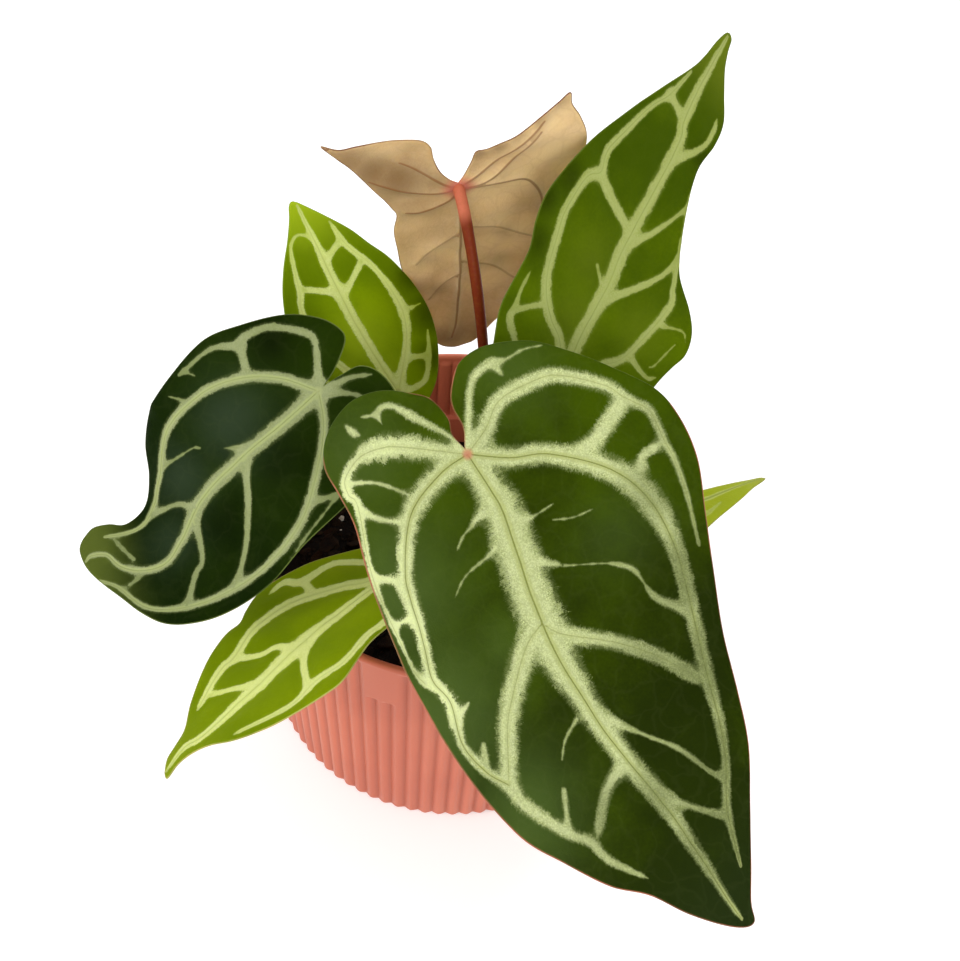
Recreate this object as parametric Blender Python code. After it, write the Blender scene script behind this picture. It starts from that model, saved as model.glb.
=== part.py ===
"""Potted anthurium: seven heart-shaped leaves on long petioles, in a ribbed cover pot.

Sizes are in millimetres and become metres as each mesh is made. The origin is the centre
of the pot's underside, +Z is up and -Y is the front, over which the largest leaf hangs.
"""

from collections import namedtuple
from math import cos, pi, radians, sin

import bpy
import numpy as np
from mathutils import Vector
from mathutils.geometry import delaunay_2d_cdt

MM = 0.001
GAP = 0.3  # between pieces that rest on each other

# Cover pot: nearly straight sides, fluted outside and, above an inner ledge, inside too.
POT_HEIGHT = 93.5
RIM_RADIUS = 69.0
FOOT_RADIUS = 64.5
WALL = 2.5
FLOOR_TOP = 4.0
FOOT_ROUNDING = 4.0
RIBS = 84
GROOVE_DEPTH = 1.3
INNER_GROOVE_DEPTH = 0.7
RIB_END = 2.0  # the ribs stop this far below the rim's top
LEDGE_HEIGHT = 65.5
LEDGE_DEPTH = 2.2
FIRST_GROOVE = -16.65 - 1.5 * 360 / RIBS  # degrees round from the front, at the panel's edge
PANEL_GROOVES = (1, 2)  # the grooves that start below the smooth panel
PANEL_FOOT = 73.0

# Potting mix, with the pit that the crown stands in.
MIX_AT_WALL = 54.0
MIX_AT_CROWN = 57.0
PIT_FLOOR = 44.0
MIX_SIDES = 48

# Crown: the short stem that carries the petioles.
CROWN_RADIUS = 9.0
CROWN_TOP = 66.0
CROWN_SIDES = 24
PETIOLE_RING = 6.3  # radius of the circle that the petioles stand on

# Leaves
BLADE_THICKNESS = 0.8
OUTLINE_STEP = 7.0
MESH_STEP = 10.0
PETIOLE_SIDES = 10
PETIOLE_STEPS = 14
PETIOLE_BASE = 1.9
PETIOLE_NECK = 1.65
PETIOLE_TOP = 1.8

# A leaf's junction is where petiole and blade meet. Its course is a row of places along the
# midrib: the distance from the junction, then the heading (turned from +X to +Y), the droop
# below the horizontal and the roll about the midrib, in degrees. cup is the curvature across
# the blade, in hundredths of a radian per millimetre. Each outline point is the distance to
# the side of the midrib and the distance along it, from the notch round to the notch.
# stand is where the petiole stands on the crown, in degrees from +X, and rise its direction
# there, as a point on its way. arrival is how far it comes in square to the blade.
Leaf = namedtuple("Leaf", "junction course cup outline stand rise arrival colour")

LEAVES = {
    "front": Leaf(
        junction=(0, -34, 150),
        course=((0, -50, 44, 4), (74, -46, 35, 4), (148, -41, 16, 4)),
        cup=0.8,
        outline=(
            (0, -1.5), (-1.8, -6.5), (-1, -11), (-3.5, -17.5), (-8, -21), (-16, -25),
            (-25.5, -25.5), (-35, -21), (-40, -14), (-39.5, -6), (-39, 3), (-42, 17),
            (-44.5, 37), (-45, 50), (-44, 70), (-40, 91), (-33, 104), (-26, 116),
            (-18, 125), (-12.5, 135.5), (-5, 146), (0, 149), (3.5, 145), (11, 138),
            (22, 126), (32, 113), (38.5, 98), (44, 80), (50, 62.5), (55.5, 45), (59.5, 30),
            (59.5, 16.5), (56, 5), (46.5, -6), (38, -14), (28.5, -21), (16.5, -24.5),
            (8, -23), (3, -17.5), (1.5, -13), (2, -7), (0, -1.5),
        ),
        stand=-95, rise=(-1, -12, 112), arrival=24, colour=(0.05, 0.10, 0.02),
    ),
    "left": Leaf(
        junction=(-41, -23, 158),
        course=((0, -144, 42, -20), (42, -151, 43, -20), (86, -174, 6, -20)),
        cup=0.0,
        outline=(
            (0, -2), (-1, -8), (-4, -15), (-8, -16), (-14, -14), (-22, -8), (-30, 3), (-36, 15),
            (-37, 30), (-35, 46), (-29, 56), (-20, 60), (-13, 64), (-10, 68), (-8.5, 73.5),
            (-9.7, 78.5), (-9.5, 83.5), (-7.5, 86), (-4.5, 87.5), (-1.5, 87.2), (3.5, 84.5),
            (12, 77), (18, 72.5), (23, 68), (26, 62.5), (28, 55), (28.5, 44), (27, 30),
            (27.5, 15), (28, 3), (25, -8), (18, -14), (10, -15.5), (4, -13), (1.5, -7), (0, -2),
        ),
        stand=165, rise=(-16, 4, 112), arrival=24, colour=(0.04, 0.09, 0.02),
    ),
    "back_left": Leaf(
        junction=(-23, 14, 124),
        course=((0, 134, -44, 0), (66, 134, -34, 0)),
        cup=0.2,
        outline=(
            (0, -1.5), (-2, -5), (-6, -7), (-10, -5.5), (-15.5, -0.5), (-20.5, 8.5),
            (-22.8, 18.5), (-22, 28), (-19, 38), (-15, 45), (-11.5, 51.5), (-7, 57.5),
            (-3, 62.3), (0, 65.5), (1.5, 66.2), (3, 65), (5, 61.5), (9, 56), (15, 48.5),
            (20.5, 39.5), (25, 27), (26, 15), (23, 3), (18, -6), (11, -10), (5, -9), (1.5, -5),
            (0, -1.5),
        ),
        stand=120, rise=(-14, 15, 92), arrival=14, colour=(0.17, 0.26, 0.02),
    ),
    "back_right": Leaf(
        junction=(25, 3, 138),
        course=((0, 66, -38, 50), (63, 65, -32, 50), (127, 64, -28, 50)),
        cup=0.6,
        outline=(
            (0, -2), (2, -7), (6, -13), (13, -15), (21, -11), (27, -2), (31, 7), (33.3, 15),
            (32.5, 25), (32.3, 32), (34.5, 38.5), (35.3, 45), (34, 52.5), (28.5, 68),
            (19.5, 85.5), (8, 106.5), (5, 114), (3.5, 121), (1.5, 126), (-1, 125.5),
            (-2, 121.5), (-4, 116.5), (-8, 110), (-12.5, 102.5), (-13.3, 95), (-11.7, 85),
            (-14, 73.5), (-17.5, 63), (-22, 53.5), (-30.5, 45.5), (-35, 39), (-36, 32),
            (-33.5, 26), (-31, 19.5), (-28, 8), (-24, -3), (-18, -11), (-11, -14), (-5, -12),
            (-2, -6), (0, -2),
        ),
        stand=20, rise=(16, 10, 100), arrival=16, colour=(0.12, 0.19, 0.02),
    ),
    "new": Leaf(
        junction=(-9, 40, 183),
        course=((0, 79.5, 70, -27), (40, 86, 75, -25), (80, 87, 81, -23)),
        cup=0.6,
        outline=(
            (0, -2), (2.5, -4.5), (5, -9), (6.5, -15), (7, -20), (9.5, -23.5), (15.5, -25),
            (20.5, -25), (27, -24), (32, -22.8), (36.5, -24.5), (33, -19), (29.5, -14),
            (24, -3.5), (20, 5), (18.7, 9), (20, 16.5), (19.5, 25), (18.5, 36), (15.5, 47.5),
            (13, 59), (10, 70.5), (6.5, 79), (1.5, 82), (-3, 81.5), (-7, 80), (-13.5, 73),
            (-20, 65), (-28, 48), (-34, 25), (-38, 8), (-39.5, -5), (-37, -15), (-34, -22),
            (-33, -27.5), (-29.5, -25), (-25.5, -22), (-18, -17), (-12.5, -15.5), (-8.5, -14.5),
            (-5.5, -14.5), (-4, -10), (-1.5, -4.5), (0, -2),
        ),
        stand=65, rise=(12, 10, 107), arrival=23, colour=(0.36, 0.22, 0.11),
    ),
    "low_left": Leaf(
        junction=(-16.5, -42, 107.5),
        course=((0, -134, -4, 28), (42, -130, 12, 28), (85, -128, 18, 28)),
        cup=0.5,
        outline=(
            (0, -2), (-3, -9), (-9, -12), (-16, -9), (-21, -1), (-26, 8), (-29, 15), (-31, 25),
            (-31, 32), (-28.5, 38), (-26.2, 42), (-26.8, 46), (-26, 50.5), (-23, 57.5),
            (-16, 67.5), (-9.5, 74), (-7.5, 78.5), (-6, 82.5), (-3, 85), (0, 86), (-0.8, 81.5),
            (0.5, 77), (4, 72.5), (10, 68), (15, 63), (20.5, 56), (26.5, 44), (27.3, 39),
            (24.5, 32.5), (22, 26), (21.5, 18), (20, 8), (16, -2), (11, -9), (6, -11), (2, -8),
            (0, -2),
        ),
        stand=215, rise=(-8, -20, 84), arrival=14, colour=(0.23, 0.30, 0.02),
    ),
    "right": Leaf(
        junction=(41, -30, 112),
        course=((0, 36, -5, -20), (69, 36, 19, -20)),
        cup=0.3,
        outline=(
            (0, -2), (-4, -8), (-10, -9), (-17, -3), (-20, 6), (-20, 16), (-15, 28),
            (-8, 48), (-4, 58), (0, 69), (1.5, 60), (2.5, 50), (4, 40), (9, 30), (14, 18),
            (16, 8), (13, -3), (8, -9), (3, -8), (0, -2),
        ),
        stand=-35, rise=(20, -12, 86), arrival=14, colour=(0.28, 0.32, 0.04),
    ),
}


def clear_scene():
    for thing in list(bpy.data.objects):
        bpy.data.objects.remove(thing, do_unlink=True)


def make_material(name, colour, roughness):
    material = bpy.data.materials.new(name)
    material.use_nodes = True
    shader = material.node_tree.nodes["Principled BSDF"]
    shader.inputs["Base Color"].default_value = (*colour, 1.0)
    shader.inputs["Roughness"].default_value = roughness
    shader.inputs["Metallic"].default_value = 0.0
    return material


def make_piece(name, points, faces, colour, roughness, sharp_angle):
    """One closed body, from points in millimetres."""
    mesh = bpy.data.meshes.new(name)
    mesh.from_pydata([Vector(p) * MM for p in points], [], faces)
    mesh.materials.append(make_material(name, colour, roughness))
    mesh.shade_smooth()
    mesh.set_sharp_from_angle(angle=radians(sharp_angle))
    piece = bpy.data.objects.new(name, mesh)
    bpy.context.scene.collection.objects.link(piece)
    return piece


def join_rings(ring_count, sides):
    """Faces between rings of points, each ring running anticlockwise seen from above."""
    faces = []
    for ring in range(ring_count - 1):
        for side in range(sides):
            after = (side + 1) % sides
            low, high = ring * sides, (ring + 1) * sides
            faces.append((low + side, low + after, high + after, high + side))
    return faces


def turned_body(profile, sides, radius_at=None):
    """A closed body of rings up its outside and down its inside, with a flat disc at each end."""
    points = []
    for row, (radius, height) in enumerate(profile):
        for side in range(sides):
            angle = 2 * pi * side / sides
            reach = radius_at(row, side, radius) if radius_at else radius
            points.append((reach * cos(angle), reach * sin(angle), height))
    faces = join_rings(len(profile), sides)
    faces.append(tuple(range(sides))[::-1])
    last = (len(profile) - 1) * sides
    faces.append(tuple(range(last, last + sides)))
    return points, faces


def outer_radius(height):
    return FOOT_RADIUS + (RIM_RADIUS - FOOT_RADIUS) * height / POT_HEIGHT


def inner_radius(height):
    """Inside of the plain wall below the ledge."""
    return outer_radius(height) - WALL - LEDGE_DEPTH


def build_pot():
    """Each rib is two flats between a crest and a groove. Two grooves start below the panel."""
    rib_top = POT_HEIGHT - RIB_END
    outside = [
        (FOOT_RADIUS - FOOT_ROUNDING, 0.0, 0.0),
        (FOOT_RADIUS - 0.3 * FOOT_ROUNDING, 0.3 * FOOT_ROUNDING, 0.6),
        (outer_radius(FOOT_ROUNDING), FOOT_ROUNDING, 1.0),
        (outer_radius(PANEL_FOOT - 1), PANEL_FOOT - 1, 1.0),
        (outer_radius(PANEL_FOOT), PANEL_FOOT, 1.0),
        (outer_radius(rib_top), rib_top, 1.0),
        (RIM_RADIUS - 0.3, POT_HEIGHT, 0.0),
    ]
    inside = [
        (RIM_RADIUS - WALL, POT_HEIGHT, 0.0),
        (outer_radius(rib_top) - WALL, rib_top, -1.0),
        (outer_radius(LEDGE_HEIGHT) - WALL, LEDGE_HEIGHT, -1.0),
        (inner_radius(LEDGE_HEIGHT), LEDGE_HEIGHT, 0.0),
        (inner_radius(FLOOR_TOP), FLOOR_TOP, 0.0),
    ]
    rows = outside + inside
    first_panel_row = 4

    def radius_at(row, side, radius):
        strength = rows[row][2]
        groove, on_crest = divmod(side, 2)
        if strength > 0 and not on_crest:
            in_panel = groove in PANEL_GROOVES and row >= first_panel_row
            return radius - (0.0 if in_panel else GROOVE_DEPTH * strength)
        if strength < 0 and on_crest:
            return radius + INNER_GROOVE_DEPTH * strength
        return radius

    points, faces = turned_body([row[:2] for row in rows], 2 * RIBS, radius_at)
    turn = radians(FIRST_GROOVE) - pi / 2
    points = [
        (x * cos(turn) - y * sin(turn), x * sin(turn) + y * cos(turn), z) for x, y, z in points
    ]
    make_piece("cover_pot", points, faces, (0.73, 0.22, 0.15), 0.5, 35)


def build_mix():
    """The mix fills the pot from its floor, and rises a little towards the crown."""
    floor = FLOOR_TOP + GAP
    pit = CROWN_RADIUS + GAP
    middle = 0.5 * (inner_radius(MIX_AT_WALL) + pit)
    profile = [
        (inner_radius(floor) - GAP, floor),
        (inner_radius(MIX_AT_WALL) - GAP, MIX_AT_WALL),
        (middle, 0.4 * MIX_AT_WALL + 0.6 * MIX_AT_CROWN),
        (pit, MIX_AT_CROWN),
        (pit, PIT_FLOOR),
    ]
    points, faces = turned_body(profile, MIX_SIDES)
    make_piece("potting_mix", points, faces, (0.012, 0.010, 0.008), 0.95, 30)


def build_crown():
    profile = [
        (0.7 * CROWN_RADIUS, PIT_FLOOR + GAP),
        (CROWN_RADIUS, PIT_FLOOR + 4),
        (CROWN_RADIUS, CROWN_TOP - 3),
        (CROWN_RADIUS - 0.6, CROWN_TOP),
    ]
    points, faces = turned_body(profile, CROWN_SIDES)
    make_piece("crown", points, faces, (0.16, 0.13, 0.05), 0.8, 30)


class Blade:
    """The bent surface of one leaf blade, on which its outline is drawn."""

    REACH = range(-60, 181)

    def __init__(self, leaf):
        course = np.array(leaf.course, float)
        self.along = np.array(self.REACH, float)
        heading, droop, roll = (
            np.radians(np.interp(self.along, course[:, 0], course[:, column]))
            for column in (1, 2, 3)
        )
        ahead = np.stack(
            [np.cos(droop) * np.cos(heading), np.cos(droop) * np.sin(heading), -np.sin(droop)], 1
        )
        level = np.stack([-np.sin(heading), np.cos(heading), 0 * heading], 1)
        up = np.cross(ahead, level)
        turn, lift = np.cos(roll)[:, None], np.sin(roll)[:, None]
        self.side = turn * level + lift * up
        self.normal = turn * up - lift * level
        steps = np.cumsum((ahead[1:] + ahead[:-1]) / 2, axis=0)
        steps = np.vstack([np.zeros(3), steps])
        self.midrib = steps - steps[self.REACH.index(0)] + np.array(leaf.junction, float)
        self.curvature = leaf.cup / 100

    def frame(self, along):
        """Midrib point, side and normal at this distance along the midrib."""
        return [
            np.array([np.interp(along, self.along, rows[:, axis]) for axis in range(3)])
            for rows in (self.midrib, self.side, self.normal)
        ]

    def point(self, across, along, height):
        """The place on the blade, height above its middle surface."""
        midrib, side, normal = self.frame(along)
        bend = self.curvature * across
        if abs(bend) < 1e-6:
            return midrib + side * across + normal * height
        radius = 1 / self.curvature - height
        return midrib + side * radius * sin(bend) + normal * (1 / self.curvature - radius * cos(bend))


def smooth_through(points, step):
    """Points about step apart on a smooth curve through the given points."""
    path = []
    rows = [np.array(p, float) for p in points]
    rows = [2 * rows[0] - rows[1]] + rows + [2 * rows[-1] - rows[-2]]
    for before, start, end, after in zip(rows, rows[1:], rows[2:], rows[3:]):
        count = max(1, round(float(np.linalg.norm(end - start)) / step))
        for index in range(count):
            t = index / count
            path.append(
                0.5
                * (
                    2 * start
                    + (end - before) * t
                    + (2 * before - 5 * start + 4 * end - after) * t**2
                    + (3 * start - before - 3 * end + after) * t**3
                )
            )
    return path


def inside(point, outline):
    """Whether the point lies inside the closed outline."""
    odd = False
    for (x0, y0), (x1, y1) in zip(outline, outline[1:] + outline[:1]):
        if (y0 > point[1]) != (y1 > point[1]):
            if point[0] < x0 + (point[1] - y0) * (x1 - x0) / (y1 - y0):
                odd = not odd
    return odd


def clear_of(point, outline, distance):
    return all((point[0] - x) ** 2 + (point[1] - y) ** 2 > distance**2 for x, y in outline)


def build_blade(name, leaf):
    """A thin closed sheet: the outline filled with triangles on both faces of the blade."""
    rim = [tuple(p) for p in smooth_through(leaf.outline, OUTLINE_STEP)]
    lowest = min(p[1] for p in rim)
    highest = max(p[1] for p in rim)
    widest = max(abs(p[0]) for p in rim)
    filling = []
    rows = int((highest - lowest) / (0.87 * MESH_STEP)) + 1
    columns = int(widest / MESH_STEP) + 1
    for row in range(rows + 1):
        for column in range(-columns, columns + 1):
            place = (
                (column + 0.5 * (row % 2)) * MESH_STEP,
                lowest + row * 0.87 * MESH_STEP,
            )
            if inside(place, rim) and clear_of(place, rim, 0.45 * MESH_STEP):
                filling.append(place)
    flat = [Vector(p) for p in rim + filling]
    flat, _, triangles, _, _, _ = delaunay_2d_cdt(flat, [], [tuple(range(len(rim)))], 1, 1e-6)
    blade = Blade(leaf)
    half = BLADE_THICKNESS / 2
    count = len(flat)
    points = [blade.point(x, y, half) for x, y in flat]
    points += [blade.point(x, y, -half) for x, y in flat]
    faces = []
    edges = {}
    for triangle in triangles:
        a, b, c = (flat[index] for index in triangle)
        if (b - a).cross(c - a) > 0:
            triangle = triangle[::-1]  # side, then ahead, then up is a left-handed frame
        faces.append(tuple(triangle))
        faces.append(tuple(index + count for index in reversed(triangle)))
        for start, end in zip(triangle, list(triangle[1:]) + [triangle[0]]):
            edges[(start, end)] = True
    for start, end in edges:
        if (end, start) not in edges:
            faces.append((end, start, start + count, end + count))
    make_piece(f"blade_{name}", points, faces, leaf.colour, 0.45, 60)
    return blade


def petiole_path(leaf, blade):
    """From the crown up to the underside of the blade, which it meets squarely."""
    around = radians(leaf.stand)
    foot = np.array([PETIOLE_RING * cos(around), PETIOLE_RING * sin(around), CROWN_TOP + GAP])
    junction, _, normal = blade.frame(0.0)
    top = junction - normal * (BLADE_THICKNESS / 2 + GAP)
    rise = np.array(leaf.rise, float)
    bend = top - normal * leaf.arrival
    path = []
    for step in range(PETIOLE_STEPS + 1):
        t = step / PETIOLE_STEPS
        s = 1 - t
        path.append(s**3 * foot + 3 * s * s * t * rise + 3 * s * t * t * bend + t**3 * top)
    return path, normal


def build_petiole(name, leaf, blade):
    """A tapering stalk, flat at both ends, with a thicker joint under the blade."""
    path, normal = petiole_path(leaf, blade)
    points = []
    across = np.array([1.0, 0.0, 0.0])
    for step, place in enumerate(path):
        if step == 0:
            ahead = np.array([0.0, 0.0, 1.0])
        elif step == PETIOLE_STEPS:
            ahead = normal
        else:
            ahead = path[step + 1] - path[step - 1]
            ahead = ahead / np.linalg.norm(ahead)
        across = across - ahead * np.dot(across, ahead)
        across = across / np.linalg.norm(across)
        beside = np.cross(ahead, across)
        t = step / PETIOLE_STEPS
        radius = PETIOLE_BASE + (PETIOLE_NECK - PETIOLE_BASE) * min(1.0, 1.6 * t)
        if step >= PETIOLE_STEPS - 1:
            radius = PETIOLE_TOP
        for side in range(PETIOLE_SIDES):
            angle = 2 * pi * side / PETIOLE_SIDES
            points.append(place + radius * (cos(angle) * across + sin(angle) * beside))
    faces = join_rings(len(path), PETIOLE_SIDES)
    faces.append(tuple(range(PETIOLE_SIDES))[::-1])
    last = PETIOLE_STEPS * PETIOLE_SIDES
    faces.append(tuple(range(last, last + PETIOLE_SIDES)))
    make_piece(f"petiole_{name}", points, faces, (0.34, 0.12, 0.06), 0.5, 60)


def main():
    clear_scene()
    build_pot()
    build_mix()
    build_crown()
    for name, leaf in LEAVES.items():
        blade = build_blade(name, leaf)
        build_petiole(name, leaf, blade)


main()
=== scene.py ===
"""Potted anthurium: seven heart-shaped leaves with silvery veins, in a fluted cover pot.

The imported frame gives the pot, the potting mix and the crown. The blades are drawn flat, in
millimetres across and along the leaf, and bent onto the same surfaces as the frame's blades.
"""

from collections import namedtuple
from math import cos, pi, radians, sin
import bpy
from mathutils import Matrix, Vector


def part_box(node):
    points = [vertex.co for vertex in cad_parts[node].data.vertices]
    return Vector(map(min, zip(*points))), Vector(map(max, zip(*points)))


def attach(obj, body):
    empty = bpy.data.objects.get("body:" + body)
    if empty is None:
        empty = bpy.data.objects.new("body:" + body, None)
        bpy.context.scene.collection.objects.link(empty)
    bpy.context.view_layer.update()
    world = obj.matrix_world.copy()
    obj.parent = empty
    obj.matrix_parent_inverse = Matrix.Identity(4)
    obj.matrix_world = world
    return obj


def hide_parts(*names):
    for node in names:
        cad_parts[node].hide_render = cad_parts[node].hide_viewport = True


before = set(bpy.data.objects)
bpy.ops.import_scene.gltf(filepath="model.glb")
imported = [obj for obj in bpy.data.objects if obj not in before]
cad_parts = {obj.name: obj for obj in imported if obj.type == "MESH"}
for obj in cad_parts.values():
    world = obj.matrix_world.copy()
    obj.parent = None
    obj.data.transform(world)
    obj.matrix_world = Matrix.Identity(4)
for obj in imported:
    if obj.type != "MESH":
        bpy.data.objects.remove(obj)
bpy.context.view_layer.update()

from types import SimpleNamespace

import bpy
import numpy as np
from bpy.props import FloatProperty, FloatVectorProperty, IntProperty, PointerProperty
from mathutils import Matrix, Vector, noise
from mathutils.geometry import delaunay_2d_cdt

bl_info = {
    "name": "Potted Anthurium",
    "version": (1, 0, 0),
    "blender": (4, 5, 0),
    "location": "3D View > Sidebar > Anthurium",
    "description": "Builds a potted anthurium with silvery veins around its construction model",
    "category": "Add Mesh",
}

MM = 0.001

# Sizes in millimetres, from the frame where it has them.
POT_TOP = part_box("cover_pot")[1].z / MM
RIM_RADIUS = 69.0
FOOT_RADIUS = 64.5
WALL = 2.5
FLOOR_TOP = 4.0
FOOT_ROUNDING = 4.0
LEDGE_HEIGHT = 65.5
LEDGE_DEPTH = 2.2
RIB_END = 2.6  # the flutes stop this far below the rim's top
MIX_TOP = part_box("potting_mix")[1].z / MM
MIX_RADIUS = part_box("potting_mix")[1].x / MM
MIX_DROP = 3.0  # from beside the crown down to the pot's wall
PIT_DEPTH = 8.0  # of the hole in the mix that the crown stands in
MIX_RINGS, MIX_SIDES = 60, 192
CROWN_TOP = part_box("crown")[1].z / MM
CROWN_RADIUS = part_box("crown")[1].x / MM
PETIOLE_RING = 6.3  # radius of the circle that the petioles stand on
PETIOLE_ROOT = 6.0  # how far a petiole reaches down into the crown
PETIOLE_SIDES, PETIOLE_STEPS = 20, 110
SCAR_SPACING, SCAR_HEIGHT = 3.1, 0.35  # of the old leaf scars round the crown

# The dry scales round the crown: where each stands in degrees from +X, how far it leans out,
# its length and its width.
SCALES = (
    (-60, 0.10, 15, 13), (60, 0.06, 19, 14), (175, 0.12, 14, 12), (-140, 0.08, 17, 12),
    (115, 0.14, 11, 10),
)

# Least distances between a blade's mesh points, as shares of its grain.
RIM_SPACING, VEIN_SPACING, FILL_SPACING = 0.3, 0.42, 0.62
ROW_SPACING = 0.87  # of the even filling
FLANKED = 0.5  # veins ribbed at least this strongly also get points along their sides

# How a blade swells between its veins and is ribbed along them, in millimetres.
SWELL_REACH = 3.2
CALM_RIM = 6.0  # a blade swells less this near to its rim
RIB_HEIGHT, RIB_WIDTH = 0.28, 1.1
CREASE_DEPTH, CREASE_WIDTH = 0.3, 0.28  # along the top of a rib
KEEL_HEIGHT, KEEL_WIDTH = 0.9, 0.8  # of a rib on the under face
THIN_RIM = 0.55  # a blade's thickness at its rim, as a share
BLUSH_START = 22.0  # the rim stays green this near to the petiole

# The stage, in metres. A lamp has its place and its width.
CAMERA_PLACE = (0.0, -0.25848, 0.38864)
CAMERA_TURNS = ((-0.0184, "Z"), (pi / 2 - 0.8364, "X"), (0.0979, "Z"))
LAMP_AIM = (0.0, 0.0, 0.1)
LAMPS = {
    "key": ((-0.8, -0.5, 0.68), 0.5),
    "fill": ((0.14, -0.82, 0.5), 0.6),
    "back": ((0.3, 0.8, 0.6), 0.6),
}
FLOOR_HALF = 4.0
FLOOR_FADE = (300.0, 1000.0)  # in millimetres, where the floor turns plain white

# A leaf's junction is where petiole and blade meet. cup is the curvature across the blade, in
# hundredths of a radian per millimetre. quilt is how far the blade swells between its veins,
# and wave how far it rolls up and down as a whole. stand is where the petiole stands on the
# crown, in degrees from +X, and rise its direction there, as a point on its way. arrival is how
# far it comes in square on. The course is a row of places along the midrib: the distance from
# the junction, then the heading (turned from +X to +Y), the droop below the horizontal and the
# roll about the midrib, in degrees. Each outline point is the distance to the side of the
# midrib and the distance along it. A vein is how strongly it is ribbed, then its points:
# across, along and the width of its pale band. Patches are light and shade painted onto the blade: painted
# shade, painted light, a painted sheen, and painted shade and painted light on its veins; across, along,
# radius and strength of each.
Leaf = namedtuple("Leaf", "junction cup quilt wave stand rise arrival course outline veins patches")

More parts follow.
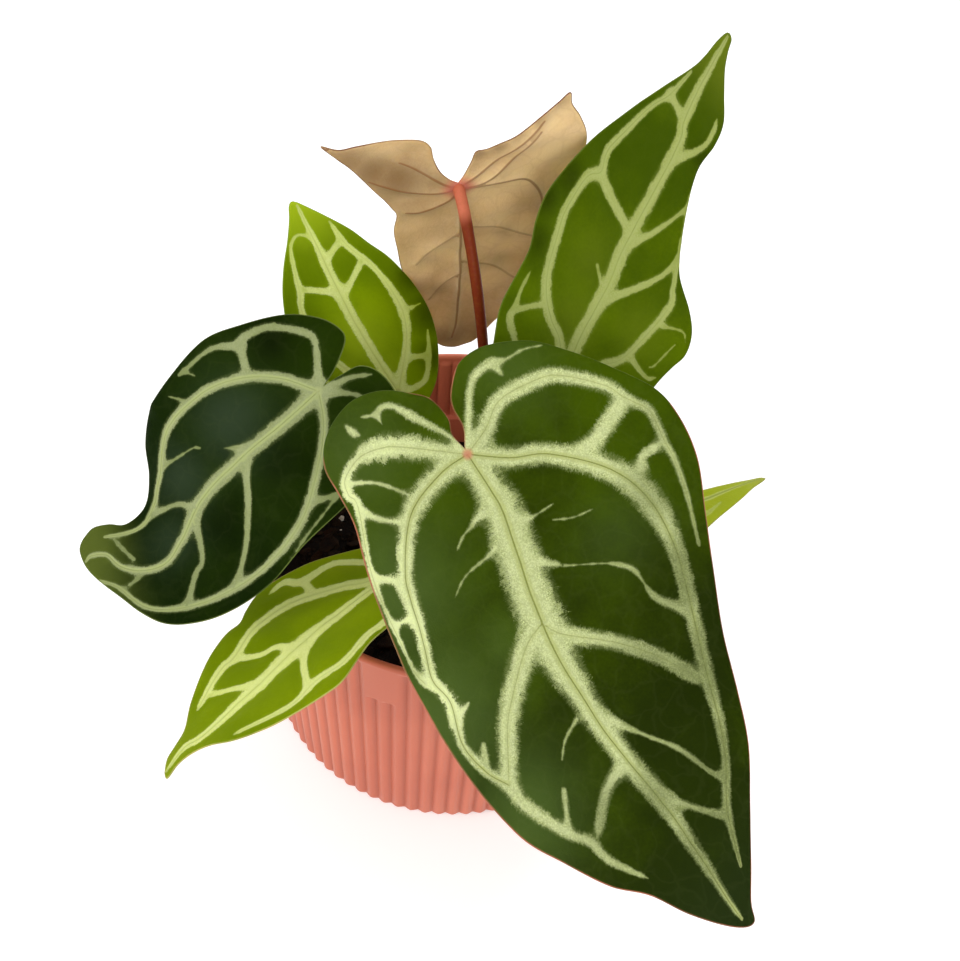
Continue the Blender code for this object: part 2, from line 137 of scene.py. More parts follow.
LEAVES = {
    "front": Leaf(
        junction=(0, -34, 150), cup=0.8, quilt=0.9, wave=0.5, stand=-95, rise=(-1, -12, 112), arrival=24,
        course=((0, -50, 44, 4), (74, -46, 35, 4), (148, -41, 16, 4)),
        outline=(
            (0, -1.5), (-1.8, -6.5), (-1, -11), (-3.5, -17.5), (-8, -21), (-16, -25), (-25.5, -25.5),
            (-35, -21), (-40, -14), (-39.5, -6), (-39, 3), (-42, 17), (-44.5, 37), (-45, 50), (-44, 70),
            (-40, 91), (-33, 104), (-26, 116), (-18, 125), (-12.5, 135.5), (-5, 146), (0, 149), (3.5, 145),
            (11, 138), (22, 126), (32, 113), (38.5, 98), (44, 80), (50, 62.5), (55.5, 45), (59.5, 30),
            (59.5, 16.5), (56, 5), (46.5, -6), (38, -14), (28.5, -21), (16.5, -24.5), (8, -23), (3, -17.5),
            (1.5, -13), (2, -7), (0, -1.5),
        ),
        veins=(
            (1.0, (0, 0, 7.5), (2, 11.5, 9), (2.5, 20.5, 11), (-1, 46.5, 12), (-2, 61.5, 10),
             (-1.5, 72, 7.4), (-1, 84.5, 6), (1.5, 115.5, 4.2), (-2, 146, 1)),
            (0.8, (0, 0, 7), (-9.5, 1.5, 6.5), (-22.5, 7.5, 5.6), (-31, 19, 4.6), (-33.5, 26, 4.6),
             (-36.5, 39, 3.4), (-39, 46.5, 3.2), (-37.5, 54, 4), (-40.5, 64, 2.8), (-38.5, 73, 2.4),
             (-34.5, 79.5, 2.6)),
            (0.3, (-34, 80, 4.5), (-33.5, 86.5, 4), (-27.5, 98.5, 2.7), (-23, 104.5, 2.5),
             (-21.5, 111.5, 2), (-15.5, 121.5, 0.8)),
            (0.5, (-2, 50.5, 7), (-9.5, 54, 7), (-24.5, 66.5, 6), (-33.5, 78.5, 5.5)),
            (0.3, (-3.5, 95.5, 3.8), (-10, 97.5, 3), (-20, 104.5, 2.4)),
            (0.5, (0, 0, 3), (-17, -9.5, 6), (-22.5, -11.5, 5.5), (-28.5, -12, 4), (-33, -10.5, 3),
             (-36.5, -8, 2.5), (-37, -4.5, 2.5), (-36, -0.5, 2), (-41, 17, 1.5), (-42.5, 40, 0.9),
             (-41.5, 46, 0.9)),
            (0, (-36.5, -7.5, 0.8), (-28, -4, 0.8), (-20.5, 2.5, 0.8)),
            (0, (-35, 1, 1.6), (-31.5, 4.5, 1.6), (-25, 8.5, 1.6)),
            (0, (-40, 17, 1.3), (-35, 20.5, 2), (-34, 24, 3.5)),
            (0, (-41, 29.5, 1.2), (-33.5, 30.5, 1.5)),
            (0, (-41.5, 45, 1.4), (-39.5, 47.5, 1.6)),
            (0, (0, 0, 0.8), (-2.5, -6, 1.1), (-6, -10.5, 1.5), (-10, -15, 2), (-14.5, -20, 1.7),
             (-18, -21, 1.3), (-20, -20, 0.7), (-24.5, -21, 0.5)),
            (0, (-20, -20, 0.6), (-19.5, -17, 0.4)),
            (0, (-29.5, -20.5, 0.9), (-28.5, -18.5, 2), (-27, -17, 1.1)),
            (0, (1, 0, 2.2), (3, -6, 2.2), (8, -15.5, 2), (11, -18.5, 2.2), (16, -19.5, 2), (21, -19, 0.8),
             (26, -19.5, 0.5), (31.5, -18.5, 0.3)),
            (0, (16.5, -19.5, 1.3), (18, -15.5, 1.7)),
            (0.5, (0, 0, 5.5), (7.5, -4, 5), (14.5, -9.5, 4.5), (26, -10.5, 4.5), (33, -9, 4),
             (43.5, -1.5, 3.5), (47, 3.5, 3), (49.5, 6.5, 2.5), (52.5, 11, 2.5), (53, 20.5, 2),
             (53.5, 28, 1.7), (52.5, 39, 1.1), (49.5, 54, 0.6)),
            (0.8, (0, 0, 6), (11, 6, 5.5), (22, 10, 5.5), (36, 21.5, 6.6), (42.5, 35, 7), (43, 52, 4.4),
             (39, 70, 3.8), (32, 93.5, 3.4), (28.5, 103.5, 2.6), (23, 113.5, 1.9), (15.5, 123, 2),
             (8, 136.5, 0.6)),
            (0, (30, 13, 4.5), (37, 11, 5), (46.5, 4.5, 5)),
            (0, (44, 25, 3.5), (46, 22, 2.5), (51.5, 21, 3)),
            (0, (1.5, 32.5, 8), (7.5, 36.5, 2.2), (10.5, 38.5, 1.3), (12.5, 40, 0.4), (22, 44.5, 0.3),
             (26, 47, 1), (29.5, 50.5, 1.4), (30.5, 55, 0.5), (31, 59, 1.3), (32.5, 62.5, 2),
             (38, 69.5, 2.6)),
            (0.5, (-1.5, 49.5, 7), (2, 55.5, 4.8), (15, 66, 3.9), (24.5, 77, 3.9), (31, 89, 3.4)),
            (0.2, (0, 81, 4.4), (3, 84.5, 2.2), (9, 93, 0.8), (15, 102, 1.3), (18.5, 112.5, 1),
             (21, 115.5, 2)),
            (0.2, (1.5, 104, 4), (4, 110.5, 2.6), (7.5, 115.5, 1.4), (13.5, 123.5, 1.8)),
            (0, (-6.5, 77.5, 0.9), (-12.5, 80, 0.6), (-16.5, 83.5, 0.6)),
            (0, (-21, 90, 1.5), (-26.5, 98.5, 1.6)),
            (0, (1, 16.5, 4), (-4, 16.5, 3), (-8, 18, 0.9), (-11, 19, 0.5), (-14.5, 21.5, 0.5)),
            (0, (3, 24, 8), (6, 23, 5), (9.5, 23.5, 1.1), (11.5, 23.5, 0.4), (17, 23, 0.25)),
            (0, (15, 27, 0.2), (20.5, 29, 0.35), (26.5, 29.5, 0.2)),
            (0, (-4, 26, 2.5), (-7, 27, 1), (-15.5, 28.5, 0.4), (-21.5, 32, 0.3)),
            (0, (-39, 58.5, 1.4), (-32.5, 56.5, 1.1)),
            (0, (-35, 67.5, 1.3), (-37.5, 72, 1.6)),
        ),
        patches={
            "dark": ((12, 22, 12, 0.3), (34, 60, 18, 0.4), (30, 85, 16, 0.4)),
            "bloom": (
                (-38, 22, 20, 0.9), (-42, 55, 20, 1), (-34, 88, 16, 0.9), (-30, -12, 14, 0.7),
                (20, -16, 12, 0.5), (-16, 50, 10, 0.5), (30, 40, 12, 0.35),
            ),
            "dull": (
                (44, 34, 14, 0.6), (43, 60, 16, 0.9), (36, 86, 18, 1), (24, 112, 16, 1), (9, 128, 16, 1),
                (0, 108, 12, 0.7), (-14, 104, 12, 0.7), (18, 78, 14, 0.8), (55, 14, 12, 0.5),
                (8, -2, 6, 0.3),
            ),
            "bright": (
                (-38, -4, 12, 1), (-38, 14, 12, 1), (-40, 32, 12, 1), (-40, 52, 12, 1), (-22, -12, 10, 0.6),
            ),
        },
    ),
    "left": Leaf(
        junction=(-41, -23, 158), cup=0.0, quilt=0.9, wave=0.5, stand=165, rise=(-16, 4, 112), arrival=24,
        course=((0, -144, 42, -20), (42, -151, 43, -20), (86, -174, 6, -20)),
        outline=(
            (0, -2), (-1, -8), (-4, -15), (-8, -16), (-14, -14), (-22, -8), (-30, 3), (-36, 15), (-37, 30),
            (-35, 46), (-29, 56), (-20, 60), (-13, 64), (-10, 68), (-8.5, 73.5), (-9.7, 78.5), (-9.5, 83.5),
            (-7.5, 86), (-4.5, 87.5), (-1.5, 87.2), (3.5, 84.5), (12, 77), (18, 72.5), (23, 68), (26, 62.5),
            (28, 55), (28.5, 44), (27, 30), (27.5, 15), (28, 3), (25, -8), (18, -14), (10, -15.5), (4, -13),
            (1.5, -7), (0, -2),
        ),
        veins=(
            (1.0, (0, 0, 4.7), (-1.5, 13.5, 4.7), (-3.5, 28, 4.3), (-3.5, 46.5, 4.3), (3, 57.5, 3),
             (7, 63.5, 2.6), (6.5, 70.5, 2.2), (3.5, 76, 1.7), (-0.5, 79.5, 1.5), (-1, 84, 1.5),
             (0.5, 85.5, 1)),
            (0.7, (0, 0, 3), (-11, 5.5, 3), (-20, 14.5, 3), (-26, 27.5, 2.6), (-26, 45, 3),
             (-16.5, 57, 2.2), (-10.5, 62, 1.7), (-6, 68.5, 1.4), (-6, 80, 0.9)),
            (0.3, (0, 0, 2.2), (-9.5, -8.5, 1.9), (-14, -8.5, 1.9), (-23, -2.5, 1.9), (-27, 5, 2.2),
             (-26.5, 7.5, 2.2), (-32.5, 15.5, 1.4), (-35, 28.5, 0.8)),
            (0, (-34.5, 26.5, 0.3), (-31, 24.5, 0.3)),
            (0, (-33, 35.5, 0.3), (-29, 32.5, 0.3)),
            (0, (-26.5, 7.5, 2.2), (-19.5, 11.5, 2.2)),
            (0.6, (0, 0, 3), (8, 6, 2.6), (17, 18, 2.6), (22.5, 29.5, 2.6), (24, 43.5, 2.2),
             (23, 53.5, 2.2), (21.5, 61.5, 1.7), (17.5, 70.5, 1.4), (9.5, 77, 1), (6.5, 82, 0.9)),
            (0.4, (-2, 28.5, 2.5), (2, 32, 2.2), (8.5, 37, 1.9), (20, 47.5, 1.3), (23, 51, 1.3)),
            (0.3, (0, 51.5, 1.9), (11, 54.5, 1.4), (14, 57.5, 1.4), (21, 62, 1.3)),
            (0.2, (-3, 50, 2.2), (-7, 54.5, 1.4), (-8.5, 64, 1.9)),
            (0, (-5, 26.5, 1.4), (-9.5, 31.5, 0.5)),
            (0, (-15, 37.5, 0.5), (-17, 40.5, 0.5), (-19.5, 54, 1.2)),
            (0, (2.5, 72, 0.9), (-4.5, 77, 0.8)),
            (0, (9.5, 74, 0.8), (8.5, 71.5, 0.5)),
            (0.2, (0, 0, 2.2), (4, -8.5, 1.4), (8, -13.5, 0.8)),
            (0.2, (0, 0, 1.9), (11, -7.5, 0.9), (20, -2, 0.8)),
            (0, (20, 22, 1.4), (22.5, 17, 0.9), (24, 14, 0.6)),
            (0, (24, 15.5, 0.4), (25.5, 26.5, 0.4), (27.5, 36, 0.3)),
        ),
        patches={
            "dark": ((-20, 0, 9, 0.8), (5, 18, 10, 0.6), (5, 44, 7, 0.5)),
            "pale": ((-4.5, 82, 5, 0.9), (1, 79.5, 1.2, 1)),
            "bloom": ((-13, 24, 12, 0.9), (-12, 48, 10, 0.8), (2, 60, 8, 0.6)),
        },
    ),
    "back_left": Leaf(
        junction=(-23, 14, 124), cup=0.2, quilt=0.5, wave=0.4, stand=120, rise=(-14, 15, 92), arrival=14,
        course=((0, 134, -44, 0), (66, 134, -34, 0)),
        outline=(
            (0, -1.5), (-2, -5), (-6, -7), (-10, -5.5), (-15.5, -0.5), (-20.5, 8.5), (-22.8, 18.5),
            (-22, 28), (-19, 38), (-15, 45), (-11.5, 51.5), (-7, 57.5), (-3, 62.3), (0, 65.5), (1.5, 66.2),
            (3, 65), (5, 61.5), (9, 56), (15, 48.5), (20.5, 39.5), (25, 27), (26, 15), (23, 3), (18, -6),
            (11, -10), (5, -9), (1.5, -5), (0, -1.5),
        ),
        veins=(
            (1.0, (0, 0, 4.4), (1, 8, 3.8), (2, 17.5, 4), (2.5, 33, 4), (0.5, 64.5, 1)),
            (0.6, (0, 0, 3.3), (-10, 12, 2.6), (-13.5, 19, 3.3), (-14.5, 25.5, 3.3), (-12.5, 37, 2.1),
             (-7.5, 47.5, 2.1), (-6.5, 56, 1.1)),
            (0.3, (-0.5, 35, 1.9), (-9.5, 41, 1.9)),
            (0.3, (1.5, 45.5, 1.9), (-6.5, 49.5, 1.5)),
            (0.3, (2, 35, 2.3), (12.5, 40.5, 1.9)),
            (0.6, (0, 0, 3.3), (11, 11, 2.6), (16.5, 24, 2.6), (16.5, 35, 2.1), (14, 40.5, 2.1),
             (10.5, 51.5, 1.3), (8, 55, 0.8), (5, 56, 0.6), (2, 54, 0.8)),
            (0.3, (0, 0, 2.3), (-6, -1, 1.9), (-11, 0, 1.9), (-15.5, 6, 1.5), (-19, 13, 1)),
            (0.3, (0, 0, 2.3), (7, -2, 1.9), (13, 0, 1.9), (18, 6, 1.5), (21, 17, 1)),
            (0, (-9, 8, 1.5), (-15, 6, 1.4)),
            (0, (-17.5, 21.5, 0.9), (-21, 21.5, 0.5)),
        ),
        patches={
            "dark": ((-23, 31, 8, 1), (-22, 18, 8, 1), (-16, 5, 6, 0.9)),
            "pale": ((4, 19, 10, 1), (10, 14, 8, 0.8), (-2, 9, 5, 0.7), (0, 56, 10, 0.5)),
        },
    ),
    "back_right": Leaf(
        junction=(25, 3, 138), cup=0.6, quilt=0.6, wave=0.5, stand=20, rise=(16, 10, 100), arrival=16,
        course=((0, 66, -38, 50), (63, 65, -32, 50), (127, 64, -28, 50)),
        outline=(
            (0, -2), (2, -7), (6, -13), (13, -15), (21, -11), (27, -2), (31, 7), (33.3, 15), (32.5, 25),
            (32.3, 32), (34.5, 38.5), (35.3, 45), (34, 52.5), (28.5, 68), (19.5, 85.5), (8, 106.5), (5, 114),
            (3.5, 121), (1.5, 126), (-1, 125.5), (-2, 121.5), (-4, 116.5), (-8, 110), (-12.5, 102.5),
            (-13.3, 95), (-11.7, 85), (-14, 73.5), (-17.5, 63), (-22, 53.5), (-30.5, 45.5), (-35, 39),
            (-36, 32), (-33.5, 26), (-31, 19.5), (-28, 8), (-24, -3), (-18, -11), (-11, -14), (-5, -12),
            (-2, -6), (0, -2),
        ),
        veins=(
            (1.0, (0, 0, 5.6), (1.5, 16.5, 5.2), (0, 35.5, 5.2), (0.5, 48.5, 5.2), (-1, 84.5, 4.2),
             (1, 93.5, 3.8), (1.5, 106.5, 3.3), (1, 125, 1)),
            (0.7, (0, 0, 3.3), (7, 14, 3.3), (14, 19, 3.3), (19.5, 24, 3.8), (23, 31.5, 3.8),
             (26, 45.5, 3.3), (24.5, 58, 3.3), (20.5, 62.5, 3.8), (21.5, 67.5, 2.8), (20.5, 73, 2.8),
             (14.5, 88.5, 1.9), (10, 96.5, 1.9), (7, 107, 1)),
            (0.4, (20, 62, 3.3), (12, 58.5, 3.3), (0, 54, 2.8)),
            (0.2, (10, 96.5, 2.8), (2, 94, 2.8)),
            (0.3, (0, 0, 2.8), (12, 1, 1.9), (22, 7.5, 1.9), (28, 12.5, 2.8), (27.5, 15.5, 1.7),
             (19, 21.5, 1.8)),
            (0, (28.5, 16.5, 1.2), (29, 21, 1.2), (28.5, 27, 0.8)),
            (0.2, (-1, 80, 2.8), (-9, 90.5, 1.9), (-10.5, 97, 1.9), (-9.5, 102, 1.2)),
            (0.3, (0, 50, 2.8), (-7.5, 60, 1.9), (-14, 72.5, 1), (-14.3, 76, 0.4)),
            (0.4, (0, 31, 2.8), (-15, 47.5, 1.9), (-19, 57.5, 1.2), (-18, 61.5, 0.4)),
            (0.6, (-19.5, 56.5, 1), (-22, 48, 1.9), (-23.5, 41.5, 2.8), (-16.5, 21.5, 2.8), (-9, 14, 3.3),
             (0, 0, 3.3)),
            (0, (-19.5, 21.5, 1.9), (-26.5, 19, 1.3), (-29.5, 20.5, 1)),
            (0, (-24, 36, 1.2), (-31.5, 38, 0.6), (-34, 35.5, 0.5)),
            (0, (-31, 33, 0.5), (-27.5, 24, 0.7), (-26, 22.5, 1.2)),
            (0, (-12.7, 78, 0.3), (-14.2, 73.5, 0.6), (-16.2, 67, 1), (-17.6, 62, 0.9), (-20, 56.5, 0.3)),
            (0, (7, 40, 0.8), (3, 36.5, 0.8)),
            (0.3, (0, 0, 2.8), (-9, 0, 1.9), (-17, 4, 1.9), (-24, 12, 1.2)),
        ),
        patches={
            "dark": ((35, 45, 6, 0.9), (31, 35, 6, 0.7), (30, 55, 6, 0.8), (-12, 88, 5, 0.6)),
            "pale": ((6, 22, 10, 0.6), (-18, 30, 10, 0.5), (10, 40, 9, 0.5)),
        },
    ),
    "new": Leaf(
        junction=(-9, 40, 183), cup=0.6, quilt=0.7, wave=1.3, stand=65, rise=(12, 10, 107), arrival=23,
        course=((0, 79.5, 70, -27), (40, 86, 75, -25), (80, 87, 81, -23)),
        outline=(
            (0, -2), (2.5, -4.5), (5, -9), (6.5, -15), (7, -20), (9.5, -23.5), (15.5, -25), (20.5, -25),
            (27, -24), (32, -22.8), (36.5, -24.5), (33, -19), (29.5, -14), (24, -3.5), (20, 5), (18.7, 9),
            (20, 16.5), (19.5, 25), (18.5, 36), (15.5, 47.5), (13, 59), (10, 70.5), (6.5, 79), (1.5, 82),
            (-3, 81.5), (-7, 80), (-13.5, 73), (-20, 65), (-28, 48), (-34, 25), (-38, 8), (-39.5, -5),
            (-37, -15), (-34, -22), (-33, -27.5), (-29.5, -25), (-25.5, -22), (-18, -17), (-12.5, -15.5),
            (-8.5, -14.5), (-5.5, -14.5), (-4, -10), (-1.5, -4.5), (0, -2),
        ),
        veins=(
            (1.0, (0, 0, 1.8), (0, 30, 1.4), (0.5, 62, 1.1), (2, 76, 0.7)),
            (0.6, (0, 0, 1.6), (4, -3, 1.3), (10.5, -11, 0.9), (16, -15.5, 0.6)),
            (0.6, (0, 0, 1.6), (8.5, 0, 1.2), (25, -8.5, 0.7)),
            (0.5, (0, 0, 1.5), (3, 5, 1.2), (11.5, 8, 1), (16, 7.5, 0.7)),
            (0.6, (0, 0, 1.5), (-8, -6, 1.2), (-21.5, -15.5, 0.9), (-25.5, -19.5, 0.6)),
            (0.6, (0, 0, 1.8), (-9.5, -1, 1.2), (-24.5, -16, 0.7)),
            (0.6, (0, 0, 1.6), (-12.5, 2.5, 1.2), (-21.5, 5, 0.9), (-26.5, 19, 0.8), (-25, 40, 0.7),
             (-16, 62, 0.5)),
            (0.3, (0, 18, 0.9), (-12, 24, 0.7), (-25, 34, 0.5)),
            (0.3, (0, 36, 0.9), (-10, 42, 0.7), (-20, 53, 0.5)),
            (0.3, (0, 22, 0.9), (8, 27, 0.7), (14, 34, 0.5)),
            (0.3, (0, 42, 0.8), (6, 47, 0.6), (10, 54, 0.5)),
        ),
        patches={
            "dark": (
                (30, -17, 9, 0.8), (24, -12, 9, 0.9), (17, -8, 10, 0.9), (20, -14, 5, 0.7),
                (13, -11, 5, 0.7), (8, -5, 6, 0.5), (22, 0, 8, 0.5), (14, 6, 7, 0.4), (-6, -13.5, 3.5, 0.7),
                (-12, -15, 3.5, 0.7), (-18, -17, 3.5, 0.7), (-24, -21, 3.5, 0.7), (-30, -25, 3.5, 0.5),
                (1, 77, 8, 0.5), (-9, 79, 7, 0.5), (7, 49.5, 4, 0.35), (-5, -8, 3, 0.35),
                (9.5, 34, 3.5, 0.3), (-14, 27, 3.5, 0.3), (-14, 42, 4, 0.35), (7, 22, 4, 0.3),
            ),
            "pale": (
                (15, 14, 5, 0.6), (7, 29, 6, 0.8), (2, 32, 4, 0.7), (12, 38, 6, 0.7), (3, 43, 5, 0.8),
                (-13, 21, 6, 0.7), (-20, 28, 5, 0.6), (-9.5, 31.5, 5, 0.8), (-18, 36, 6, 0.8),
                (-12, 48.5, 7, 0.8), (11, 55, 6, 0.5), (7, 66, 5, 0.5), (-22, -14, 6, 0.6),
                (-29, -16, 6, 0.8), (-10, 0, 8, 0.8), (-19, 3, 9, 1), (-28, -3, 10, 1), (-33, 4, 10, 1),
                (18, -22, 4, 0.5), (-12, 9, 8, 0.7),
            ),
        },
    ),
    "low_left": Leaf(
        junction=(-16.5, -42, 107.5), cup=0.5, quilt=0.6, wave=0.4, stand=215, rise=(-8, -20, 84),
        arrival=14,
        course=((0, -134, -4, 28), (42, -130, 12, 28), (85, -128, 18, 28)),
        outline=(
            (0, -2), (-3, -9), (-9, -12), (-16, -9), (-21, -1), (-26, 8), (-29, 15), (-31, 25), (-31, 32),
            (-28.5, 38), (-26.2, 42), (-26.8, 46), (-26, 50.5), (-23, 57.5), (-16, 67.5), (-9.5, 74),
            (-7.5, 78.5), (-6, 82.5), (-3, 85), (0, 86), (-0.8, 81.5), (0.5, 77), (4, 72.5), (10, 68),
            (15, 63), (20.5, 56), (26.5, 44), (27.3, 39), (24.5, 32.5), (22, 26), (21.5, 18), (20, 8),
            (16, -2), (11, -9), (6, -11), (2, -8), (0, -2),
        ),
        veins=(
            (1.0, (0, 0, 3), (1, 11, 3.6), (0.5, 30, 5.4), (0.5, 39, 7), (0.5, 48, 5.6), (0.5, 56, 5),
             (-1, 71.5, 3.2), (-3.5, 77.5, 2.2), (-2, 85, 1)),
            (0.7, (0, 0, 3.7), (-4, 10, 4.6), (-9.5, 15.5, 4.6), (-18, 28.5, 4.6), (-19.5, 41, 3.7),
             (-16.5, 51, 3.3), (-16.5, 55.5, 3.3), (-13, 64, 2.3), (-11, 68, 1.5)),
            (0.4, (0, 0, 2.7), (-7, 0, 3), (-13.5, 3.5, 3.3), (-20, 7.5, 3.3), (-22, 12, 3),
             (-23, 20.5, 3.3), (-27.5, 23.5, 2.7), (-27.5, 29.5, 1.4)),
            (0, (-22.5, 20, 2.1), (-16.5, 21, 2.1)),
            (0.3, (0.5, 39, 2.1), (-6, 41, 2.1), (-9.5, 46, 2.1), (-16, 51, 2.1)),
            (0.3, (0, 52, 2.1), (-12, 63, 1.6)),
            (0.4, (0, 34, 2.7), (8.5, 41, 2.1), (18.5, 46, 2.1)),
            (0.6, (0, 0, 3), (10, 3, 3), (17, 11, 3.3), (19, 20, 3.3), (18.5, 24.5, 3), (21, 35, 3),
             (18.5, 43.5, 3), (18, 52.5, 2.3), (9, 66.5, 1.2)),
        ),
        patches={
            "pale": ((0, 60, 12, 0.3),),
        },
    ),
    "right": Leaf(
        junction=(41, -30, 112), cup=0.3, quilt=0.4, wave=0.3, stand=-35, rise=(20, -12, 86), arrival=14,
        course=((0, 36, -5, -20), (69, 36, 19, -20)),
        outline=(
            (0, -2), (-4, -8), (-10, -9), (-17, -3), (-20, 6), (-20, 16), (-15, 28), (-8, 48), (-4, 58),
            (0, 69), (1.5, 60), (2.5, 50), (4, 40), (9, 30), (14, 18), (16, 8), (13, -3), (8, -9), (3, -8),
            (0, -2),
        ),
        veins=(
            (1.0, (0, 0, 3.5), (-1, 20, 3), (-2, 40, 2.2), (-1, 56, 1.2), (0, 67, 0.4)),
            (0.5, (0, 0, 2.2), (-9, 5, 2), (-14, 14, 1.8), (-11, 28, 1.4), (-6, 42, 0.7)),
            (0.5, (0, 0, 2.2), (7, 5, 2), (11, 13, 1.7), (8, 25, 1.2), (2, 39, 0.6)),
            (0.3, (0, 0, 1.8), (-7, -3, 1.5), (-14, 1, 1.1), (-17, 9, 0.6)),
            (0.3, (0, 0, 1.8), (5, -3, 1.5), (11, 1, 1), (13, 8, 0.5)),
            (0.2, (-1, 14, 1.6), (-12, 21, 1.2)),
            (0.2, (-1, 14, 1.5), (8.5, 21, 1.1)),
            (0.2, (-1.5, 28, 1.3), (-9, 34, 0.9)),
        ),
        patches={},
    ),
}

# Kinds of patch, in this order: painted shade, painted light, a painted sheen, painted shade on the veins,
# painted light on the veins.
PATCHES = ("dark", "pale", "bloom", "dull", "bright")
MEASURES = ("edge", "girth", "line", "rib", "rim", "upper", "heart", "reach")

# A leaf's colours: the green of its upper face, the darker green that it shades into and that
# of its tip, its pale veins and their fainter edges, the smooth strip along a rib and the line
# in its groove, the spot over the petiole, the rim, and the under face with its shading and its
# ribs. fringe is how hairy the edges of its veins are. blush is where the rim's colour starts on
# the left and on the right, in millimetres along the leaf. glow is how deep light goes in, and
# heart_size how wide the spot over the petiole is.
Tint = namedtuple(
    "Tint",
    "fringe green dark tip silver haze strip groove heart rim under shade rib blush glow heart_size",
    defaults=((-60, -60), 0.3, 0.8),
)

TINTS = {
    "front": Tint(
        fringe=1, green=(0.054, 0.092, 0.001), dark=(0.017, 0.029, 0.002), tip=(0.018, 0.03, 0.006),
        silver=(0.68, 0.735, 0.375), haze=(0.29, 0.34, 0.12), strip=(0.45, 0.49, 0.175),
        groove=(0.22, 0.25, 0.045), heart=(0.62, 0.25, 0.15), rim=(0.42, 0.16, 0.09), under=(0.2, 0.26, 0.1),
        shade=(0.14, 0.19, 0.07), rib=(0.42, 0.4, 0.2), blush=(-14, 12), heart_size=1,
    ),
    # The left leaf's tip colour, far paler than its green, is a painted sheen on its curled-up tip.
    "left": Tint(
        fringe=0.5, green=(0.0145, 0.031, 0.001), dark=(0.005, 0.013, 0.001), tip=(0.1, 0.13, 0.02),
        silver=(0.37, 0.405, 0.205), haze=(0.18, 0.22, 0.07), strip=(0.44, 0.49, 0.2),
        groove=(0.28, 0.33, 0.1), heart=(0.42, 0.46, 0.2), rim=(0.13, 0.17, 0.04), under=(0.17, 0.23, 0.09),
        shade=(0.12, 0.17, 0.06), rib=(0.38, 0.38, 0.18),
    ),
    "back_left": Tint(
        fringe=0.4, green=(0.25, 0.365, 0.001), dark=(0.14, 0.22, 0.001), tip=(0.37, 0.49, 0.012),
        silver=(0.8, 0.87, 0.34), haze=(0.4, 0.5, 0.03), strip=(0.66, 0.74, 0.22), groove=(0.56, 0.64, 0.16),
        heart=(0.48, 0.5, 0.15), rim=(0.24, 0.33, 0.03), under=(0.27, 0.34, 0.09), shade=(0.2, 0.27, 0.06),
        rib=(0.46, 0.5, 0.16), glow=0.4,
    ),
    "back_right": Tint(
        fringe=0.55, green=(0.115, 0.18, 0.001), dark=(0.055, 0.095, 0.001), tip=(0.15, 0.2, 0.01),
        silver=(0.47, 0.52, 0.18), haze=(0.27, 0.33, 0.05), strip=(0.44, 0.5, 0.16),
        groove=(0.34, 0.4, 0.09), heart=(0.45, 0.45, 0.15), rim=(0.15, 0.19, 0.03), under=(0.22, 0.29, 0.09),
        shade=(0.16, 0.22, 0.06), rib=(0.42, 0.44, 0.16),
    ),
    "new": Tint(
        fringe=0.2, green=(0.17, 0.085, 0.03), dark=(0.1, 0.05, 0.02), tip=(0.17, 0.085, 0.03),
        silver=(0.4, 0.26, 0.14), haze=(0.27, 0.16, 0.07), strip=(0.42, 0.2, 0.12), groove=(0.25, 0.1, 0.06),
        heart=(0.62, 0.17, 0.12), rim=(0.17, 0.06, 0.035), under=(0.78, 0.565, 0.305),
        shade=(0.62, 0.42, 0.20), rib=(0.3, 0.12, 0.045), glow=0.9, heart_size=3,
    ),
    "low_left": Tint(
        fringe=0.35, green=(0.25, 0.34, 0.001), dark=(0.16, 0.235, 0.001), tip=(0.24, 0.31, 0.01),
        silver=(0.82, 0.88, 0.33), haze=(0.42, 0.5, 0.04), strip=(0.68, 0.75, 0.24),
        groove=(0.48, 0.55, 0.12), heart=(0.55, 0.6, 0.18), rim=(0.45, 0.42, 0.12), under=(0.33, 0.38, 0.11),
        shade=(0.26, 0.31, 0.07), rib=(0.52, 0.55, 0.2),
    ),
    "right": Tint(
        fringe=0.3, green=(0.42, 0.48, 0.02), dark=(0.31, 0.37, 0.01), tip=(0.34, 0.37, 0.05),
        silver=(0.5, 0.55, 0.14), haze=(0.4, 0.46, 0.07), strip=(0.32, 0.37, 0.08),
        groove=(0.26, 0.31, 0.05), heart=(0.4, 0.42, 0.12), rim=(0.28, 0.3, 0.06), under=(0.26, 0.32, 0.08),
        shade=(0.2, 0.26, 0.05), rib=(0.4, 0.43, 0.14),
    ),
}


def size_property(name, description, millimetres):
    return FloatProperty(
        name=name, description=description, default=millimetres * MM, unit="LENGTH"
    )


def colour_property(name, description, *default):
    return FloatVectorProperty(
        name=name, description=description, default=default, subtype="COLOR"
    )


def power_property(name, description, default):
    return FloatProperty(name=name, description=description, default=default, unit="POWER")


def number_property(name, description, default):
    return FloatProperty(name=name, description=description, default=default)


class PotSettings(bpy.types.PropertyGroup):
    ribs: IntProperty(name="Ribs", description="Ribs round the pot", default=84, min=12)
    columns: IntProperty(
        name="Faces per Rib", description="Faces across one rib", default=14, min=4
    )
    groove_depth: size_property("Groove Depth", "Depth of the outer grooves", 1.3)
    inner_depth: size_property("Inner Rib Height", "Height of the ribs inside, above the ledge", 0.7)
    first_groove: FloatProperty(
        name="Panel Edge",
        description="Where the smooth panel starts, turned from the front",
        default=radians(-16.65 - 1.5 * 360 / 84),
        subtype="ANGLE",
    )
    panel_ribs: IntProperty(
        name="Panel Width", description="Ribs that the smooth panel covers", default=3
    )
    panel_foot: size_property("Panel Foot", "Height at which the ribs under the panel stop", 73)
    colour: colour_property("Pot Colour", "Colour of the glaze", 0.60, 0.145, 0.076)


